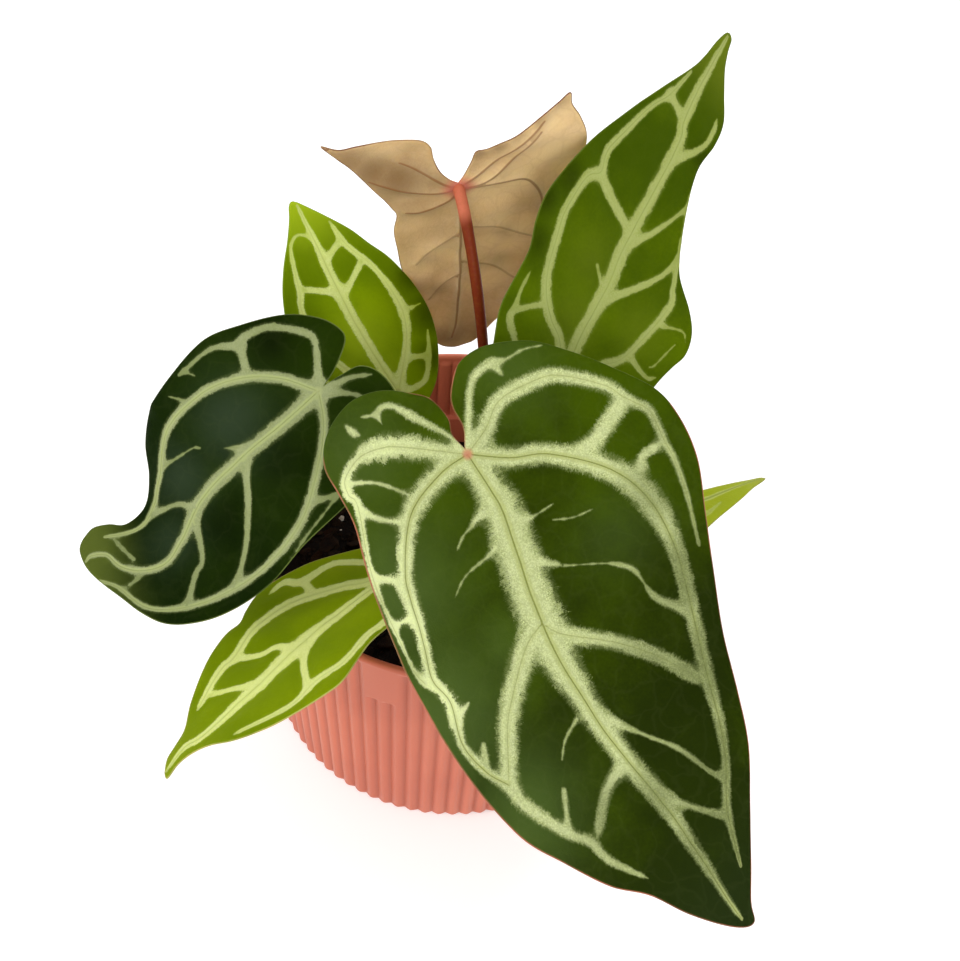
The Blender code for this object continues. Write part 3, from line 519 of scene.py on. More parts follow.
class MixSettings(bpy.types.PropertyGroup):
    bark_density: number_property("Bark", "Bark chips in a square metre", 30000)
    grit_density: number_property("Grit", "Small grains in a square metre", 260000)
    perlite_density: number_property("Perlite", "White grains in a square metre", 4500)
    seed: IntProperty(name="Seed", description="Draw of the random places", default=7)
    # Near black: partly the mix's own dark colour, partly painted shade for where it lies under the leaves.
    colour: colour_property("Mix Colour", "Colour of the damp mix", 0.007, 0.005, 0.0035)


class PlantSettings(bpy.types.PropertyGroup):
    blade_thickness: size_property("Blade Thickness", "Thickness of a leaf blade", 0.55)
    blade_step: size_property("Blade Grain", "Distance between the points of a blade's mesh", 0.9)
    fringe: number_property("Vein Fringe", "How hairy the edges of the pale bands on the veins are", 1.0)
    petiole_foot: size_property("Petiole Foot", "Radius of a petiole where it leaves the crown", 2.3)
    petiole_neck: size_property("Petiole Neck", "Radius of a petiole over most of its length", 1.65)
    petiole_joint: size_property("Petiole Joint", "Radius of the thicker joint under a blade", 1.75)
    petiole_red: colour_property("Petiole Red", "Colour of a petiole under its blade", 0.60, 0.16, 0.085)
    petiole_brown: colour_property("Petiole Brown", "Colour of a petiole lower down", 0.165, 0.02, 0.003)


class StageSettings(bpy.types.PropertyGroup):
    lens: number_property("Lens", "Focal length in millimetres", 45.8)
    key: power_property("Key Light", "Power of the large soft lamp", 3.2)
    fill: power_property("Fill Light", "Power of the lamp in front", 2.8)
    back: power_property("Back Light", "Power of the lamp behind", 4.0)
    sky: number_property("Surroundings", "Strength of the light from all round", 0.70)


def operation(name, swapped=False):
    """A method for an operator, which adds the Math node of that name."""

    def method(self, other):
        return self.nodes.math(name, *((other, self) if swapped else (self, other)))

    return method


class Socket:
    """An output socket of a node tree. Arithmetic on it adds Math nodes."""

    def __init__(self, nodes, link):
        self.nodes = nodes
        self.link = link

    __add__, __radd__ = operation("ADD"), operation("ADD", swapped=True)
    __sub__, __rsub__ = operation("SUBTRACT"), operation("SUBTRACT", swapped=True)
    __mul__, __rmul__ = operation("MULTIPLY"), operation("MULTIPLY", swapped=True)
    __truediv__, __pow__ = operation("DIVIDE"), operation("POWER")
    __lt__ = operation("LESS_THAN")


class Nodes:
    """Adds nodes to one tree, for a material or for geometry."""

    def __init__(self, tree):
        self.tree = tree

    def add(self, kind, sockets=None, output=0, **settings):
        """One node: its settings first, then the value or link of each socket. Gives the
        output of this number or name."""
        node = self.tree.nodes.new(kind)
        for name, value in settings.items():
            setattr(node, name, value)
        for name, value in (sockets or {}).items():
            self.feed(node.inputs[name], value)
        return Socket(self, node.outputs[output]) if node.outputs else node

    def feed(self, socket, value):
        if isinstance(value, Socket):
            self.tree.links.new(value.link, socket)
        else:
            socket.default_value = value

    def math(self, operation, *values):
        return self.add("ShaderNodeMath", dict(enumerate(values)), operation=operation)

    def vector(self, operation, *values, output=0):
        return self.add(
            "ShaderNodeVectorMath", dict(enumerate(values)), output, operation=operation
        )

    def scaled(self, vector, factor):
        return self.add(
            "ShaderNodeVectorMath", {0: vector, "Scale": factor}, operation="SCALE"
        )

    def smooth(self, value, low, high):
        """0 below low and 1 above high, with a smooth step between."""
        sockets = {0: value, 1: low, 2: high}
        return self.add("ShaderNodeMapRange", sockets, interpolation_type="SMOOTHSTEP")

    def blend(self, factor, first, second):
        """From the first colour to the second."""
        first, second = (
            c if isinstance(c, Socket) else (*c, 1.0)[:4] for c in (first, second)
        )
        return self.add("ShaderNodeMix", {0: factor, 6: first, 7: second}, 2, data_type="RGBA")

    def noise(self, vector, scale, detail=2.0, output=0):
        sockets = {"Vector": vector, "Scale": scale, "Detail": detail}
        return self.add("ShaderNodeTexNoise", sockets, output)

    def measure(self, name, output=2):
        """A number, or with output 1 a vector, kept on the points of the mesh."""
        return self.add("ShaderNodeAttribute", None, output, attribute_name=name)


def start_material(name, roughness, specular):
    """A material with its nodes, its shader and the place on the object in millimetres."""
    material = bpy.data.materials.new(name)
    material.use_nodes = True
    nodes = Nodes(material.node_tree)
    shader = material.node_tree.nodes["Principled BSDF"]
    shader.inputs["Roughness"].default_value = roughness
    shader.inputs["Specular IOR Level"].default_value = specular
    place = nodes.add("ShaderNodeTexCoord", output="Object")
    return material, nodes, shader, nodes.scaled(place, 1 / MM)


def finish_surface(nodes, shader, colour, height, distance, roughness=None):
    """Feeds the shader its colour and a bump from a height between 0 and 1."""
    nodes.feed(shader.inputs["Base Color"], colour)
    bump = nodes.add("ShaderNodeBump", {"Distance": distance * MM, "Height": height})
    nodes.feed(shader.inputs["Normal"], bump)
    if roughness is not None:
        nodes.feed(shader.inputs["Roughness"], roughness)


def times(colour, *factors):
    """The colour with each part multiplied, and kept below pure white."""
    if len(factors) == 1:
        factors *= 3
    return tuple(min(0.96, k * c) for k, c in zip(factors, colour))


def leaf_marks(nodes, place):
    """The measures kept on a blade, and the noises that its colours are worked out with."""
    marks = SimpleNamespace(**{name: nodes.measure(name) for name in MEASURES + PATCHES})
    marks.hairs = nodes.noise(nodes.measure("fibre", 1), 1.0, 3.0)
    marks.specks = nodes.noise(place, 2.3)
    marks.lumps = nodes.noise(place, 0.45)
    marks.clumps = nodes.noise(place, 0.16)
    marks.clouds = nodes.noise(place, 0.05)
    marks.grain = nodes.noise(place, 1.1, 3.0)
    marks.sturdy = nodes.smooth(marks.girth, 0.2, 1.2) * 0.75 + 0.25
    return marks


def vein_bands(nodes, at, fringe):
    """Adds where the ragged pale bands lie, how deep in one a place is and how it glitters
    there, and the line along a rib's groove."""
    hairy = (at.hairs - 0.5) * 1.6 + (at.specks - 0.5) * 2.9 + (at.clumps - 0.5) * 2.6
    ragged = (
        at.edge
        + hairy * (fringe * at.sturdy)
        + (at.lumps - 0.5) * (0.7 + 1.5 * fringe) * at.sturdy
    )
    at.band = 1 - nodes.smooth(ragged, -0.2 - 0.4 * fringe, 0.14 + 0.3 * fringe)
    at.depth = nodes.smooth(0 - at.edge, 0.0, 1.6)
    at.sparkle = nodes.smooth(at.specks + (at.lumps - 0.5) * 0.4, 0.34, 0.66)
    at.groove = (1 - nodes.smooth(at.line, 0.1, 0.38)) * nodes.smooth(at.rib, 0.2, 0.8)


def fine_net(nodes, place):
    """The finest veins, a faint net all over the blade."""
    shift = nodes.noise(place, 0.12, output=1)
    sockets = {"Vector": nodes.vector("MULTIPLY_ADD", shift, (9.0,) * 3, place), "Scale": 0.13}
    net = nodes.add("ShaderNodeTexVoronoi", sockets, feature="DISTANCE_TO_EDGE")
    return 1 - nodes.smooth(net, 0.0, 0.09)


def leaf_green(nodes, at, tint, fringe):
    """The upper face between the veins, with its patches of painted shade, painted light and painted sheen.
    """
    shade = nodes.smooth(at.reach * 0.7 + at.clouds * 1.1 + at.grain * 0.25, 0.45, 1.25)
    green = nodes.blend(shade, tint.green, tint.dark)
    green = nodes.blend(nodes.smooth(at.reach, 0.75, 1.0), green, tint.tip)
    # painted sheen: a cool, lighter green laid on by its patches
    sheen_green = tuple(1.25 * c + more for c, more in zip(tint.green, (0.013, 0.013, 0.023)))
    green = nodes.blend(at.bloom * 0.9, green, sheen_green)
    # painted shade and painted light from the patches
    green = nodes.blend(at.dark * 0.9, green, times(tint.dark, 0.35))
    green = nodes.blend(at.pale * 0.7, green, tint.tip)
    green = nodes.blend(at.net * 0.016, green, tint.haze)
    halo = 1 - nodes.smooth(at.edge + (at.hairs - 0.5) * 2.4 * fringe, 0.0, 1.2)
    return nodes.blend(halo * (0.12 + 0.2 * fringe), green, tint.haze)


def upper_face(nodes, at, tint, fringe):
    """Green with silver bands, a smooth strip along each rib and a line in its groove."""
    full = 0.4 + at.depth * 0.32 + (at.sparkle - 0.5) * (1 - at.depth * 0.6)
    # the painted shade from the patches dims the silver; the painted light on the veins lifts it and fades
    # the strip along the rib
    full = (full * fringe + (1 - fringe) * 0.85) * at.sturdy * (1 - at.dark * 0.4)
    full = full + at.bright * (1 - full) * 0.75
    brightest = times(tint.silver, 1.3)
    silver = nodes.blend(full, tint.haze, nodes.blend(at.bright, tint.silver, brightest))
    face = nodes.blend(at.band, leaf_green(nodes, at, tint, fringe), silver)
    strip = 1 - nodes.smooth(at.line + (at.grain - 0.5) * 0.8, 0.7, 1.9)
    strip = strip * nodes.smooth(at.rib, 0.3, 0.8) * (1 - at.bright * 0.6) * 0.7
    face = nodes.blend(strip, face, tint.strip)
    face = nodes.blend(at.groove * (0.25 + 0.5 * fringe), face, tint.groove)
    glints = nodes.smooth(at.specks, 0.6, 0.72) * at.band * (1 - at.depth * 0.8) * (0.6 * fringe)
    face = nodes.blend(glints, face, brightest)
    # painted shade on the veins, from the patches, turns the silver towards its dimmer faint colour
    shaded_vein = nodes.blend(at.sparkle * 0.5, times(tint.haze, 0.5), tint.haze)
    return nodes.blend(nodes.smooth(at.dull, 0.0, 0.9) * at.band * 0.85, face, shaded_vein)


def under_face(nodes, at, tint):
    """Paler, with plain raised ribs."""
    face = nodes.blend(nodes.smooth(at.clouds + at.grain * 0.3, 0.4, 0.9), tint.under, tint.shade)
    # painted shade and painted light from the patches, on the under face
    face = nodes.blend(at.dark * 0.85, face, times(tint.shade, 0.3, 0.22, 0.15))
    face = nodes.blend(at.pale * 0.7, face, times(tint.under, 1.3))
    face = nodes.blend(at.net * 0.07, face, tint.rib)
    ribs = (1 - nodes.smooth(at.line, 0.6, 1.6)) * nodes.smooth(at.rib, 0.05, 0.5)
    return nodes.blend(ribs * 0.65, face, tint.rib)


def leaf_material(name, tint, fringe):
    """Velvety green with fringed silver bands along the veins above, plain with ribs below.
    The blade is thin enough for light to shine through."""
    material, nodes, shader, place = start_material(f"leaf_{name}", 0.5, 0.015)
    shader.inputs["Specular Tint"].default_value = (0.9, 1.0, 0.5, 1.0)
    shader.inputs["Subsurface Weight"].default_value = 0.6
    shader.inputs["Subsurface Radius"].default_value = (1.0, 1.0, 0.5)
    shader.inputs["Subsurface Scale"].default_value = tint.glow * MM
    fringe = fringe * tint.fringe
    at = leaf_marks(nodes, place)
    vein_bands(nodes, at, fringe)
    at.net = fine_net(nodes, place)
    above = upper_face(nodes, at, tint, fringe)
    colour = nodes.blend(at.upper, under_face(nodes, at, tint), above)
    bare = nodes.smooth(at.clouds + at.grain * 0.15, 0.48, 0.62)
    rim = (1 - nodes.smooth(at.rim, 0.08, 0.3)) * (1 - bare * 0.5)
    colour = nodes.blend(rim, colour, tint.rim)
    colour = nodes.blend((1 - nodes.smooth(at.heart, 0.6, 2.2)) * 0.85, colour, tint.heart)
    raised = 1 - nodes.smooth(at.edge, -0.5, 0.4)
    height = raised * 0.35 + at.specks * 0.4 + at.grain * 0.4 - at.groove * 0.6
    finish_surface(nodes, shader, colour, height, 0.18, 0.44 + at.band * 0.16 + at.specks * 0.06)
    return material


def petiole_material(red, brown):
    """Satin red-brown, pinker under the blade, with fine streaks along the stalk."""
    material, nodes, shader, place = start_material("petiole_skin", 0.42, 0.08)
    along = nodes.measure("along")
    flecks = nodes.noise(place, 0.9, 3.0)
    blotches = nodes.noise(place, 0.12)
    upward = nodes.smooth(along + (blotches - 0.5) * 0.05, 0.90, 0.94)
    middle = tuple(0.94 * b + 0.06 * r for b, r in zip(brown, red))
    skin = nodes.blend(nodes.smooth(along, 0.35, 0.9), brown, middle)
    skin = nodes.blend(upward, skin, red)
    skin = nodes.blend(nodes.smooth(flecks, 0.45, 0.72) * 0.18, skin, (0.26, 0.1, 0.01))
    finish_surface(nodes, shader, skin, flecks, 0.12)
    return material


def pot_material(colour):
    """Matte coral glaze, with painted shade that darkens it down in the grooves."""
    material, nodes, shader, place = start_material("pot_glaze", 0.42, 0.36)
    groove = nodes.measure("groove")
    clouds = nodes.noise(place, 0.03)
    grain = nodes.noise(place, 1.8, 3.0)
    face = nodes.blend(nodes.smooth(clouds, 0.35, 0.7), colour, times(colour, 1.08, 1.15, 1.15))
    # painted shade, deeper where a place lies further down in a groove
    face = nodes.blend(nodes.smooth(groove, 0.3, 1.0) * 0.5, face, times(colour, 0.62))
    finish_surface(nodes, shader, face, grain, 0.05, 0.33 + grain * 0.12)
    return material


def grain_material(name, dark, light, scale, roughness=0.9):
    """A rough natural grain that varies from one piece to the next."""
    material, nodes, shader, place = start_material(name, roughness, 0.12)
    coarse = nodes.noise(place, scale, 3.0)
    fine = nodes.noise(place, scale * 7, 3.0)
    mixed = nodes.blend(nodes.smooth(coarse + fine * 0.3, 0.45, 0.8), dark, light)
    finish_surface(nodes, shader, mixed, fine, 0.5)
    return material


def start_group(name, numbers, whole=()):
    """A geometry tree with these inputs after its geometry, and a socket for each by name."""
    tree = bpy.data.node_groups.new(name, "GeometryNodeTree")
    kinds = {"Geometry": "Geometry", **dict.fromkeys(numbers, "Float")}
    kinds.update({**dict.fromkeys(whole, "Int"), "Material": "Material"})
    for label, kind in kinds.items():
        tree.interface.new_socket(label, in_out="INPUT", socket_type=f"NodeSocket{kind}")
    tree.interface.new_socket("Geometry", in_out="OUTPUT", socket_type="NodeSocketGeometry")
    nodes = Nodes(tree)
    return tree, nodes, {label: nodes.add("NodeGroupInput", output=label) for label in kinds}


def stored(nodes, geometry, name, value):
    """The geometry with a number kept on its points, for its material to read."""
    sockets = {"Geometry": geometry, "Name": name, "Value": value}
    return nodes.add("GeometryNodeStoreNamedAttribute", sockets, data_type="FLOAT", domain="POINT")


def finish_group(nodes, geometry, material, smooth):
    """Ends a geometry tree with plain geometry that carries its material."""
    real = nodes.add("GeometryNodeRealizeInstances", {"Geometry": geometry})
    shaded = nodes.add("GeometryNodeSetShadeSmooth", {"Geometry": real, "Shade Smooth": smooth})
    painted = nodes.add("GeometryNodeSetMaterial", {"Geometry": shaded, "Material": material})
    nodes.add("NodeGroupOutput", {"Geometry": painted})


def grown(name, source, tree, values):
    """A plain mesh object from the source, once the tree has worked on it."""
    modifier = source.modifiers.new(tree.name, "NODES")
    modifier.node_group = tree
    for item in tree.interface.items_tree:
        if item.in_out == "INPUT" and item.name in values:
            modifier[item.identifier] = values[item.name]
    depsgraph = bpy.context.evaluated_depsgraph_get()
    mesh = bpy.data.meshes.new_from_object(
        source.evaluated_get(depsgraph), preserve_all_data_layers=True, depsgraph=depsgraph
    )
    source.modifiers.remove(modifier)
    bpy.data.objects.remove(source)
    mesh.name = name
    return add_object(name, mesh)


def add_object(name, data):
    item = bpy.data.objects.new(name, data)
    bpy.context.scene.collection.objects.link(item)
    return item


def seat(piece, slot, *nodes):
    """The piece belongs to the plant and stands for these nodes. The slot is not used."""
    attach(piece, "root")
    if nodes:
        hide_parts(*nodes)


def mesh_of(name, points, faces, material=None):
    mesh = bpy.data.meshes.new(name)
    mesh.from_pydata([Vector(p) * MM for p in points], [], faces)
    if material:
        mesh.materials.append(material)
    mesh.shade_smooth()
    return mesh


def keep_measure(mesh, name, values):
    """Keeps a number on each point of the mesh, for its material or its tree to read."""
    attribute = mesh.attributes.new(name, "FLOAT", "POINT")
    attribute.data.foreach_set("value", np.asarray(values, np.float32))


def turn_round(sides):
    """Even angles once round."""
    return [2 * pi * side / sides for side in range(sides)]


def join_rings(ring_count, sides):
    """Faces between rings of points, each ring running anticlockwise seen from above."""
    faces = []
    for low in range(0, (ring_count - 1) * sides, sides):
        for side in range(sides):
            after = (side + 1) % sides
            faces.append((low + side, low + after, low + sides + after, low + sides + side))
    return faces


def close_rings(ring_count, sides):
    """The same with the first and the last ring filled."""
    last = (ring_count - 1) * sides
    caps = [tuple(range(sides))[::-1], tuple(range(last, last + sides))]
    return join_rings(ring_count, sides) + caps


def rounding(centre, radius, start, end, steps):
    """Points on an arc in the plane of radius and height, angles in degrees from outwards."""
    turns = [radians(start + (end - start) * step / steps) for step in range(steps + 1)]
    return [(centre[0] + radius * cos(turn), centre[1] + radius * sin(turn)) for turn in turns]


def outer_radius(height):
    return FOOT_RADIUS + (RIM_RADIUS - FOOT_RADIUS) * height / POT_TOP


def pot_profile(panel_foot):
    """Rows of radius, height and how far the flutes reach there: outside above 0, inside below."""
    half = WALL / 2
    rib_top = POT_TOP - RIB_END
    foot_steps, lip_steps = 7, 12
    centre = (FOOT_RADIUS - FOOT_ROUNDING, FOOT_ROUNDING)
    foot = rounding(centre, FOOT_ROUNDING, -90, 0, foot_steps)
    rows = [(0.96 * centre[0], 0.0, 0.0)]
    rows += [(r, z, step / foot_steps) for step, (r, z) in enumerate(foot)]
    # close rows where the panel ends and where the flutes fade out below the rim
    panel_edge = [panel_foot + 0.4 * step for step in range(-3, 4)]
    for height in (12, 24, 36, 48, 60, 68, *panel_edge, 80, 86):
        rows.append((outer_radius(height), height, 1.0))
    for step in range(9):
        height = rib_top - 1.2 + 0.25 * step
        fade = min(1.0, max(0.0, (rib_top + 0.8 - height) / 2.0))
        rows.append((outer_radius(height), height, fade**0.5))
    lip = rounding((RIM_RADIUS - half, POT_TOP - half), half, 0, 180, lip_steps)
    rows += [(r, z, 0.0) for r, z in lip]
    for step in range(6):
        height = rib_top + 0.6 - 0.4 * step
        rows.append((outer_radius(height) - WALL, height, -min(1.0, step / 4)))
    for height in (86, 80, 74, 68, LEDGE_HEIGHT + 0.5):
        rows.append((outer_radius(height) - WALL, height, -1.0))
    ledge = outer_radius(LEDGE_HEIGHT) - WALL
    floor = outer_radius(FLOOR_TOP) - WALL - LEDGE_DEPTH
    return rows + [
        (ledge - 0.9, LEDGE_HEIGHT + 0.1, -0.5),
        (ledge - LEDGE_DEPTH + 0.5, LEDGE_HEIGHT, 0.0),
        (ledge - LEDGE_DEPTH + 0.1, LEDGE_HEIGHT - 0.15, 0.0),
        (ledge - LEDGE_DEPTH, LEDGE_HEIGHT - 0.6, 0.0),
        (outer_radius(30) - WALL - LEDGE_DEPTH, 30, 0.0),
        (floor, FLOOR_TOP + 1.0, 0.0),
        (floor - 1.0, FLOOR_TOP, 0.0),
    ]


def flute_tree():
    """Presses the grooves into the pot's turned wall, and leaves the panel's top smooth."""
    tree, nodes, given = start_group(
        "Flutes",
        ("Ribs", "Groove Depth", "Inner Rib Height", "First Groove", "Panel Ribs", "Panel Foot"),
    )
    position = nodes.add("GeometryNodeInputPosition")
    x, y, z = (nodes.add("ShaderNodeSeparateXYZ", {0: position}, axis) for axis in range(3))
    turned = (nodes.math("ARCTAN2", y, x) - given["First Groove"]) / (2 * pi)
    # half a hundredth of a rib keeps the first groove's own points from wrapping round
    count = nodes.math("FRACT", turned + 0.00005) * given["Ribs"]
    near = nodes.math("ABSOLUTE", nodes.math("FRACT", count) * 2 - 1)
    inset = nodes.math("MINIMUM", count, given["Panel Ribs"] - count)
    edge = nodes.math("MAXIMUM", 1 - inset * 2, 0.0)
    foot, blur = given["Panel Foot"], 0.6 * MM
    flat = (count < given["Panel Ribs"]) * nodes.smooth(z, foot - blur, foot + blur)
    flute = nodes.add("GeometryNodeInputNamedAttribute", {"Name": "flute"}, data_type="FLOAT")
    outside = nodes.math("MAXIMUM", flute, 0.0)
    inside = nodes.math("MAXIMUM", flute * -1, 0.0)
    outer = near + (edge - near) * flat
    # half a parabola, half a soft wave
    press = (outer**2) * (2.0 - outer)
    swell = 1 - ((near**2) * 0.5 + (near**4) * 0.5)
    inward = outside * press * given["Groove Depth"] + inside * swell * given["Inner Rib Height"]
    radial = nodes.vector("NORMALIZE", nodes.add("ShaderNodeCombineXYZ", {0: x, 1: y}))
    sockets = {"Geometry": given["Geometry"], "Offset": nodes.scaled(radial, inward * -1)}
    moved = nodes.add("GeometryNodeSetPosition", sockets)
    # how deep each place lies in a groove, read by the glaze for its painted shade
    marked = stored(nodes, moved, "groove", outside * press + inside * (1 - swell))
    finish_group(nodes, marked, given["Material"], True)
    return tree


def build_pot(settings):
    rows = pot_profile(settings.panel_foot / MM)
    sides = settings.ribs * settings.columns
    start = settings.first_groove - pi / 2
    angles = start + 2 * pi * np.arange(sides) / sides
    ring = np.column_stack([np.cos(angles), np.sin(angles)])
    points = [(r * x, r * y, z) for r, z, _ in rows for x, y in ring]
    mesh = mesh_of("pot_wall", points, close_rings(len(rows), sides))
    keep_measure(mesh, "flute", np.repeat([row[2] for row in rows], sides))
    values = {
        "Ribs": float(settings.ribs),
        "Groove Depth": settings.groove_depth,
        "Inner Rib Height": settings.inner_depth,
        "First Groove": start,
        "Panel Ribs": float(settings.panel_ribs),
        "Panel Foot": settings.panel_foot,
        "Material": pot_material(tuple(settings.colour)),
    }
    pot = grown("fluted_pot", add_object("pot_wall", mesh), flute_tree(), values)
    pot.data.set_sharp_from_angle(angle=radians(55))
    seat(pot, "pot", "cover_pot")


def mix_height(radius):
    """The mix lies highest beside the crown and dips towards the wall."""
    share = (radius - CROWN_RADIUS) / (MIX_RADIUS - CROWN_RADIUS)
    return MIX_TOP - MIX_DROP * min(1.0, max(0.0, share)) ** 1.5


def mix_top(rings, sides):
    """Points of the lumpy top from the pit's edge outwards."""
    points = []
    for ring in range(rings + 1):
        radius = CROWN_RADIUS - 1 + (MIX_RADIUS - CROWN_RADIUS + 1) * ring / rings
        for angle in turn_round(sides):
            place = Vector((radius * cos(angle), radius * sin(angle), 0.0))
            lump = 1.3 * noise.noise(place * 0.12) + 0.6 * noise.noise(place * 0.4)
            points.append((place.x, place.y, mix_height(radius) + lump))
    return points


def build_mix_bed(material):
    """The body of the mix: its lumpy top, down the wall to the floor, and the crown's pit."""
    top = mix_top(MIX_RINGS, MIX_SIDES)
    foot = outer_radius(FLOOR_TOP) - WALL - LEDGE_DEPTH - 1.3
    shrink = foot / MIX_RADIUS
    low = [(shrink * x, shrink * y, FLOOR_TOP + 0.3) for x, y, _ in top[-MIX_SIDES:]]
    pit = [(x, y, MIX_TOP - PIT_DEPTH) for x, y, _ in top[:MIX_SIDES]]
    faces = [face[::-1] for face in close_rings(MIX_RINGS + 3, MIX_SIDES)]
    bed = add_object("mix_bed", mesh_of("mix_bed", pit + top + low, faces, material))
    seat(bed, "mix", "potting_mix")


def scatter_tree():
    """Strews grains over a surface: lumps of random size, stretch, turn and dents."""
    tree, nodes, given = start_group(
        "Strewn Grains", ("Density", "Smallest", "Largest", "Stretch", "Flatness"), ("Seed",)
    )
    spots = nodes.add(
        "GeometryNodeDistributePointsOnFaces",
        {"Mesh": given["Geometry"], "Density": given["Density"], "Seed": given["Seed"]},
        distribute_method="RANDOM",
    )
    size = nodes.add(
        "FunctionNodeRandomValue",
        {2: given["Smallest"], 3: given["Largest"], "Seed": given["Seed"] + 1},
        output=1,
        data_type="FLOAT",
    )
    turn = nodes.add(
        "FunctionNodeRandomValue",
        {0: (-0.5, -0.5, 0.0), 1: (0.5, 0.5, 2 * pi), "Seed": given["Seed"] + 2},
        data_type="FLOAT_VECTOR",
    )
    shape = nodes.add(
        "ShaderNodeCombineXYZ", {0: size * given["Stretch"], 1: size, 2: size * given["Flatness"]}
    )
    lump = nodes.add("GeometryNodeMeshIcoSphere", {"Radius": 0.5, "Subdivisions": 1})
    sockets = {"Points": spots, "Instance": lump, "Rotation": turn, "Scale": shape}
    strewn = nodes.add("GeometryNodeInstanceOnPoints", sockets)
    real = nodes.add("GeometryNodeRealizeInstances", {"Geometry": strewn})
    position = nodes.add("GeometryNodeInputPosition")
    dents = nodes.vector("SUBTRACT", nodes.noise(position, 0.9 / MM, 1.0, output=1), (0.5,) * 3)
    sockets = {"Geometry": real, "Offset": nodes.scaled(dents, given["Smallest"])}
    finish_group(nodes, nodes.add("GeometryNodeSetPosition", sockets), given["Material"], False)
    return tree


def build_grains(settings):
    """Bark chips, grit and a few white and tan grains lie on the bed."""
    tree = scatter_tree()
    # the mix colour, near black partly as painted shade, is the darker end of the bark and the grit
    damp = tuple(settings.colour)
    kinds = (
        ("bark_chips", settings.bark_density, 2.5, 6.0, 1.7, 0.35,
         grain_material("bark", damp, (0.026, 0.014, 0.007), 0.25)),
        ("mix_grit", settings.grit_density, 0.6, 1.8, 1.3, 0.7,
         grain_material("grit", damp, (0.018, 0.011, 0.006), 0.6)),
        ("perlite", settings.perlite_density, 1.2, 2.6, 1.1, 0.8,
         grain_material("perlite_white", (0.52, 0.47, 0.38), (0.80, 0.77, 0.68), 0.5)),
    )
    rings, sides = 20, 96
    faces = [face[::-1] for face in join_rings(rings + 1, sides)]
    for order, (name, density, smallest, largest, stretch, flatness, material) in enumerate(kinds):
        surface = add_object(f"{name}_bed", mesh_of(f"{name}_bed", mix_top(rings, sides), faces))
        values = {
            "Density": density,
            "Smallest": smallest * MM,
            "Largest": largest * MM,
            "Stretch": stretch,
            "Flatness": flatness,
            "Seed": settings.seed + 10 * order,
            "Material": material,
        }
        seat(grown(name, surface, tree, values), "mix")


def sheath(around, lean, length, width):
    """A dry pointed scale that wraps the crown: points and faces of a thin closed sheet."""
    rows, columns, half = 12, 8, 0.3
    points = []
    for side in (half, -half):
        for row in range(rows + 1):
            t = row / rows
            wide = width * (1 - t**2.2) + 0.15
            reach = CROWN_RADIUS + 0.6 + lean * t * t * length + side
            height = MIX_TOP - 2 + length * t
            for column in range(columns + 1):
                angle = radians(around) + (column / columns - 0.5) * wide / CROWN_RADIUS
                points.append((reach * cos(angle), reach * sin(angle), height))
    across = columns + 1
    layer = (rows + 1) * across
    faces = []
    for row in range(rows):
        for low in range(row * across, row * across + columns):
            high = low + across
            faces.append((low, low + 1, high + 1, high))
            faces.append((low + layer, high + layer, high + 1 + layer, low + 1 + layer))
    border = list(range(across))
    border += [(row + 1) * across + columns for row in range(rows)]
    border += [rows * across + column for column in range(columns - 1, -1, -1)]
    border += [row * across for row in range(rows - 1, 0, -1)]
    for start, end in zip(border, border[1:] + border[:1]):
        faces.append((end, start, start + layer, end + layer))
    return points, faces


def build_crown():
    """The short stem, ringed with old leaf scars and wrapped in dry scales."""
    rings, sides = 28, 64
    points = []
    for ring in range(rings + 1):
        t = ring / rings
        height = MIX_TOP - 10 + (CROWN_TOP - MIX_TOP + 10.5) * t
        for angle in turn_round(sides):
            lump = noise.noise(Vector((1.6 * cos(angle), 1.6 * sin(angle), 0.18 * height)))
            scar = SCAR_HEIGHT * cos(2 * pi * height / SCAR_SPACING + 1.5 * sin(angle))
            radius = (CROWN_RADIUS - 0.6) * (1 - 0.22 * t**5) + 0.7 * lump + scar
            points.append((radius * cos(angle), radius * sin(angle), height))
    faces = close_rings(rings + 1, sides)
    for scale in SCALES:
        more, skin = sheath(*scale)
        faces += [tuple(index + len(points) for index in face) for face in skin]
        points += more
    material = grain_material("crown_bark", (0.055, 0.030, 0.012), (0.26, 0.17, 0.075), 0.35, 0.8)
    seat(add_object("crown_stem", mesh_of("crown_stem", points, faces, material)), "crown", "crown")


